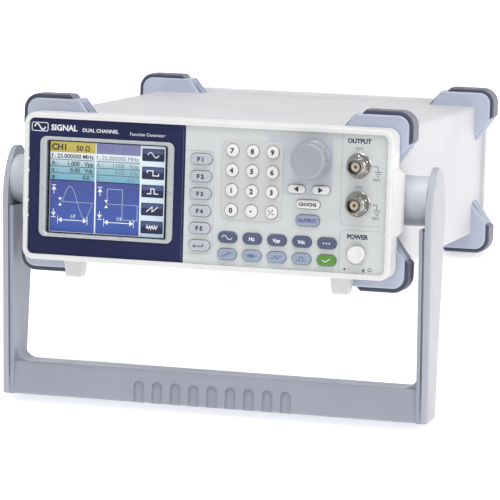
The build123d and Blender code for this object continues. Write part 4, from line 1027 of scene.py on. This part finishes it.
# ---- back plate --------------------------------------------------------------------------
def rear_printing():
    """Outlines, numbers and the earth sign on the back plate, and a plain foil label."""
    face = level_box("top_cover")[1][1]

    def printed(name, shapes, material, slot="back_paint"):
        film(name, shapes, material, face, facing=-1)
    outlines = [frame_line(-46.0, -2.0, 2.0, 25.0, 1.5, 0.4),
                frame_line(-33.0, -15.0, -22.5, -5.5, 1.5, 0.4)]
    printed("rear_outlines", outlines, "ink_slate")
    x, z, width = -74.0, -22.0, 0.5
    numbers = [lettering("1", -12.0, 22.2, 2.2), lettering("2", -36.0, 22.2, 2.2),
               stroke([(x, z + 3.0), (x, z)], width)]
    numbers += [stroke([(x - half, z - 1.2 * step), (x + half, z - 1.2 * step)], width)
                for step, half in enumerate((2.6, 1.7, 0.8))]
    printed("rear_numbers", numbers, "ink_slate")
    label = [filled(rounded_box(-44.0, -4.0, -31.5, -25.0, 0.8))]
    printed("rear_label", label, "label_foil", "steel")


rear_printing()


# ---- floor, lights and camera ------------------------------------------------------------
FLOOR_REACH, FLOOR_GLOW, WORLD_LIGHT = 6.0, 0.52, 0.50
LAMP_AIM = (0.0, 0.0, 0.1)
LAMPS = {"side_light": ((2.0, -0.6, 1.2), 1.2, 14.0),  # place, size in metres, power in watts
         "left_light": ((-1.5, -1.4, 1.8), 0.7, 4.0),
         "top_light": ((0.2, -0.2, 2.2), 1.2, 26.0)}


def floor():
    """A wide pale sheet that glows a little, so that it stays white under the soft light."""
    mesh = bpy.data.meshes.new("floor")
    far = FLOOR_REACH
    corners = [(-far, -far, 0), (far, -far, 0), (far, far, 0), (-far, far, 0)]
    mesh.from_pydata(corners, [], [(0, 1, 2, 3)])
    paper = new_material("floor_paper", (0.93, 0.93, 0.93), 0.8, Emission_Strength=FLOOR_GLOW,
                         Emission_Color=WHITE)
    mesh.materials.append(paper)
    piece = bpy.data.objects.new("floor", mesh)
    bpy.context.scene.collection.objects.link(piece)


def area_light(name, location, size, power):
    """A square lamp turned towards the instrument."""
    light = bpy.data.lights.new(name, "AREA")
    light.shape, light.size, light.energy = "SQUARE", size, power
    lamp = bpy.data.objects.new(name, light)
    lamp.location = location
    way = Vector(LAMP_AIM) - Vector(location)
    lamp.rotation_euler = way.to_track_quat("-Z", "Y").to_euler()
    bpy.context.scene.collection.objects.link(lamp)


# The camera in the instrument's frame: it looks at AIM from DISTANCE away, turned by YAW to
# the instrument's left, PITCH down and ROLL about its own axis.
VIEW_AIM = (34.3, -20.6, -28.2)
VIEW_DISTANCE = 1930.0
VIEW_YAW, VIEW_PITCH, VIEW_ROLL = 15.914, 6.677, -1.671
LENS, SENSOR, CLIP = 239.46, 36.0, (0.05, 30.0)


def camera():
    """Its three axes are worked out in the instrument's frame and then turned with it."""
    yaw, pitch, roll = (math.radians(angle) for angle in (VIEW_YAW, VIEW_PITCH, VIEW_ROLL))
    level = np.array((math.cos(yaw), math.sin(yaw), 0.0))
    ahead = np.array((-level[1] * math.cos(pitch), level[0] * math.cos(pitch), -math.sin(pitch)))
    down = np.cross(ahead, level)
    across = math.cos(roll) * level + math.sin(roll) * down
    drop = -math.sin(roll) * level + math.cos(roll) * down
    matrix = Matrix.Identity(4)
    for column, axis in enumerate((TURN @ across, -(TURN @ drop), -(TURN @ ahead))):
        matrix.col[column][:3] = axis
    matrix.translation = Vector(placed(np.array(VIEW_AIM) - VIEW_DISTANCE * ahead))
    lens = bpy.data.cameras.new("camera")
    lens.lens, lens.sensor_width = LENS, SENSOR
    lens.clip_start, lens.clip_end = CLIP
    view = bpy.data.objects.new("camera", lens)
    view.matrix_world = matrix
    bpy.context.scene.collection.objects.link(view)
    bpy.context.scene.camera = view


def studio():
    """The floor, an even white surround, three soft lamps and the camera."""
    floor()
    world = bpy.data.worlds.new("studio")
    world.use_nodes = True
    surround = world.node_tree.nodes["Background"]
    surround.inputs["Color"].default_value = (*WHITE, 1.0)
    surround.inputs["Strength"].default_value = WORLD_LIGHT
    bpy.context.scene.world = world
    for name, (location, size, power) in LAMPS.items():
        area_light(name, location, size, power)
    camera()
    bpy.context.scene.view_settings.view_transform = "Standard"


studio()
